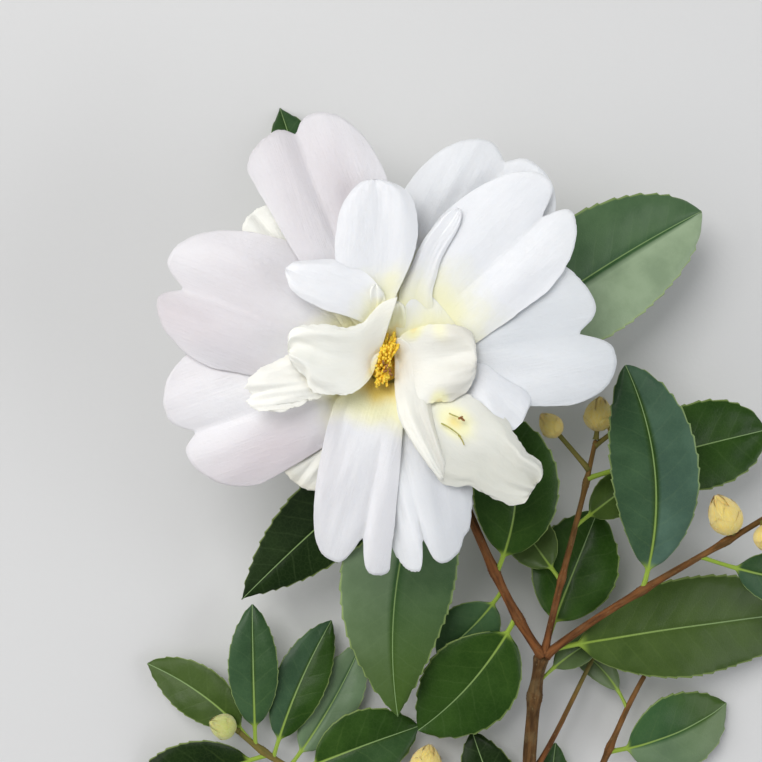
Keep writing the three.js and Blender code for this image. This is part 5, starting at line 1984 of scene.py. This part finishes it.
@dataclass
class Bloom:
    """The open flower: petals, petaloids, stamens and calyx."""

    shop: Workshop
    effects: Effects

    def build(self) -> None:
        """Make the flower's pieces."""
        flesh = {
            PetalTone.WHITE: PetalFinish("petal_white_flesh", (0.91, 0.92, 0.95)),
            PetalTone.CREAM: PetalFinish("petal_cream_flesh", (0.95, 0.95, 0.87), (0.68, 0.62, 0.55),
                                         (0.57, 0.60, 0.54)),
        }
        skins = {tone: finish.build(self.effects) for tone, finish in flesh.items()}
        for petal in PETALS:
            self.shop.make_piece(petal.name + "_flesh", [petal.patch()], [skins[petal.tone]],
                                 petal.name, petal.tone.value)
        for petal in SMALL_PETALOIDS:
            self.shop.make_piece(petal.name, [petal.patch()], [skins[petal.tone]], slot=petal.tone.value)
        scales = ScaleFinish("calyx_scales_skin", (0.17, 0.19, 0.07), (0.20, 0.12, 0.05), silk=0.25)
        gold = PollenFinish("throat_gold", (0.92, 0.64, 0.10), (0.82, 0.47, 0.04), 0.03)
        finishes = [scales.build(self.effects), gold.build(self.effects)]
        self.shop.make_piece("calyx_scales", Calyx().patches(), finishes, "calyx", "calyx")
        self._build_stamens()

    def _build_stamens(self) -> None:
        """Make the stamens and their pollen sacs."""
        tuft = Stamens()
        gold = PollenFinish("filament_gold", (0.98, 0.73, 0.09), (0.90, 0.54, 0.03), 0.02)
        brown = PollenFinish("pollen_brown", (0.40, 0.20, 0.05), (0.20, 0.07, 0.02), 0.08)
        olive = PollenFinish("stray_olive", (0.50, 0.46, 0.12), (0.25, 0.27, 0.06), 0.03)
        self.shop.make_piece("stamen_filaments", tuft.filaments(), [gold.build(self.effects)], "stamens",
                             "stamen")
        self.shop.make_piece("stamen_sacs", tuft.sacs(), [brown.build(self.effects)], slot="stamen")
        self.shop.make_piece("stamen_strays", tuft.strays(), [olive.build(self.effects)], slot="stamen")


@dataclass
class Buds:
    """The scaly buds of the branch."""

    shop: Workshop
    effects: Effects
    young_bark: bpy.types.Material

    def build(self) -> None:
        """Make every bud in its colour."""
        tones = {
            BudTone.GREEN: ScaleFinish("bud_green_skin", (0.52, 0.56, 0.10), (0.56, 0.50, 0.12)),
            BudTone.CREAM: ScaleFinish("bud_cream_skin", (0.92, 0.66, 0.12), (0.78, 0.52, 0.09)),
        }
        skins = {tone: finish.build(self.effects) for tone, finish in tones.items()}
        for bud in BUDS:
            patches = bud.patches(LIMB_NAMED[bud.on])
            finishes = [skins[bud.tone], self.young_bark]
            self.shop.make_piece(bud.name + "_scales", patches, finishes, bud.name, bud.tone.value)


@dataclass(frozen=True)
class Lamp:
    """One square soft light that faces the branch, with its place and side in metres."""

    name: str
    place: Point
    side: float
    watts: float
    colour: Colour

    def hang(self) -> None:
        """Put the light in the room."""
        data = bpy.data.lights.new(self.name, "AREA")
        data.size = self.side
        data.energy = self.watts
        data.color = self.colour
        lamp = bpy.data.objects.new(self.name, data)
        lamp.location = self.place
        away = np.array(self.place) / np.linalg.norm(self.place)
        lamp.rotation_euler = (math.acos(away[2]), 0.0, math.atan2(away[0], -away[1]))
        bpy.context.scene.collection.objects.link(lamp)


@dataclass(frozen=True)
class Studio:
    """The pale floor, the soft lights and the camera that looks straight down.

    eye is in millimetres from the throat, lens and sensor in millimetres, floor_side in metres.
    """

    bench: Bench
    eye: Point = (-0.76, -3.04, 360.0)
    lens: float = 79.57
    sensor: float = 36.0
    floor_side: float = 6.0
    floor_lines: int = 13
    sky_colour: Colour = (0.95, 0.97, 1.0)
    sky_strength: float = 0.3
    lamps: tuple[Lamp, ...] = (
        Lamp("key", (-0.4, 0.5, 1.0), 0.7, 8.6, (1.0, 0.985, 0.96)),
        Lamp("left_wall", (-1.2, 0.1, 0.6), 1.0, 8.6, (1.0, 0.97, 0.95)),
        Lamp("right_wall", (1.2, -0.3, 0.6), 1.0, 8.6, (0.97, 0.98, 1.0)),
    )

    def build(self) -> None:
        """Make the floor, the lights and the camera."""
        self._floor()
        self._sky()
        for lamp in self.lamps:
            lamp.hang()
        self._camera()

    def _floor(self) -> None:
        """Lay a large pale floor."""
        half = self.floor_side / 2.0
        steps = np.linspace(-half, half, self.floor_lines)
        points = [(x, y, 0.0) for y in steps for x in steps]
        mesh = bpy.data.meshes.new("floor")
        mesh.from_pydata(points, [], grid_quads(self.floor_lines, self.floor_lines).tolist())
        mesh.materials.append(FloorFinish().build())
        floor = bpy.data.objects.new("floor", mesh)
        bpy.context.scene.collection.objects.link(floor)

    def _sky(self) -> None:
        """Fill the room with even light."""
        world = bpy.data.worlds.new("soft_room")
        world.use_nodes = True
        background = world.node_tree.nodes["Background"]
        background.inputs["Color"].default_value = (*self.sky_colour, 1.0)
        background.inputs["Strength"].default_value = self.sky_strength
        bpy.context.scene.world = world

    def _camera(self) -> None:
        """Place the camera over the bloom."""
        data = bpy.data.cameras.new("camera")
        data.sensor_width = self.sensor
        data.lens = self.lens
        data.clip_start = 0.01
        camera = bpy.data.objects.new("camera", data)
        camera.location = self.bench.metres(np.array(self.eye)).tolist()
        bpy.context.scene.collection.objects.link(camera)
        bpy.context.scene.camera = camera


def write_sizes() -> None:
    """Bring the scene's placements up to date."""
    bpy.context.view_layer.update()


def main() -> None:
    """Build the branch and the studio round it."""
    logging.basicConfig(level=logging.INFO, format="%(message)s")
    bpy.context.scene.view_settings.view_transform = "Standard"
    bench = Bench.under_the_bloom()
    shop = Workshop(bench)
    effects = Effects()
    Studio(bench).build()
    young_bark = YOUNG_BARK.build(effects)
    assemblies = (Stems(shop, effects, young_bark), Foliage(shop, effects), Bloom(shop, effects),
                  Buds(shop, effects, young_bark))
    for assembly in assemblies:
        log.info("building %s", type(assembly).__name__)
        assembly.build()
    write_sizes()


if __name__ == "__main__":
    main()
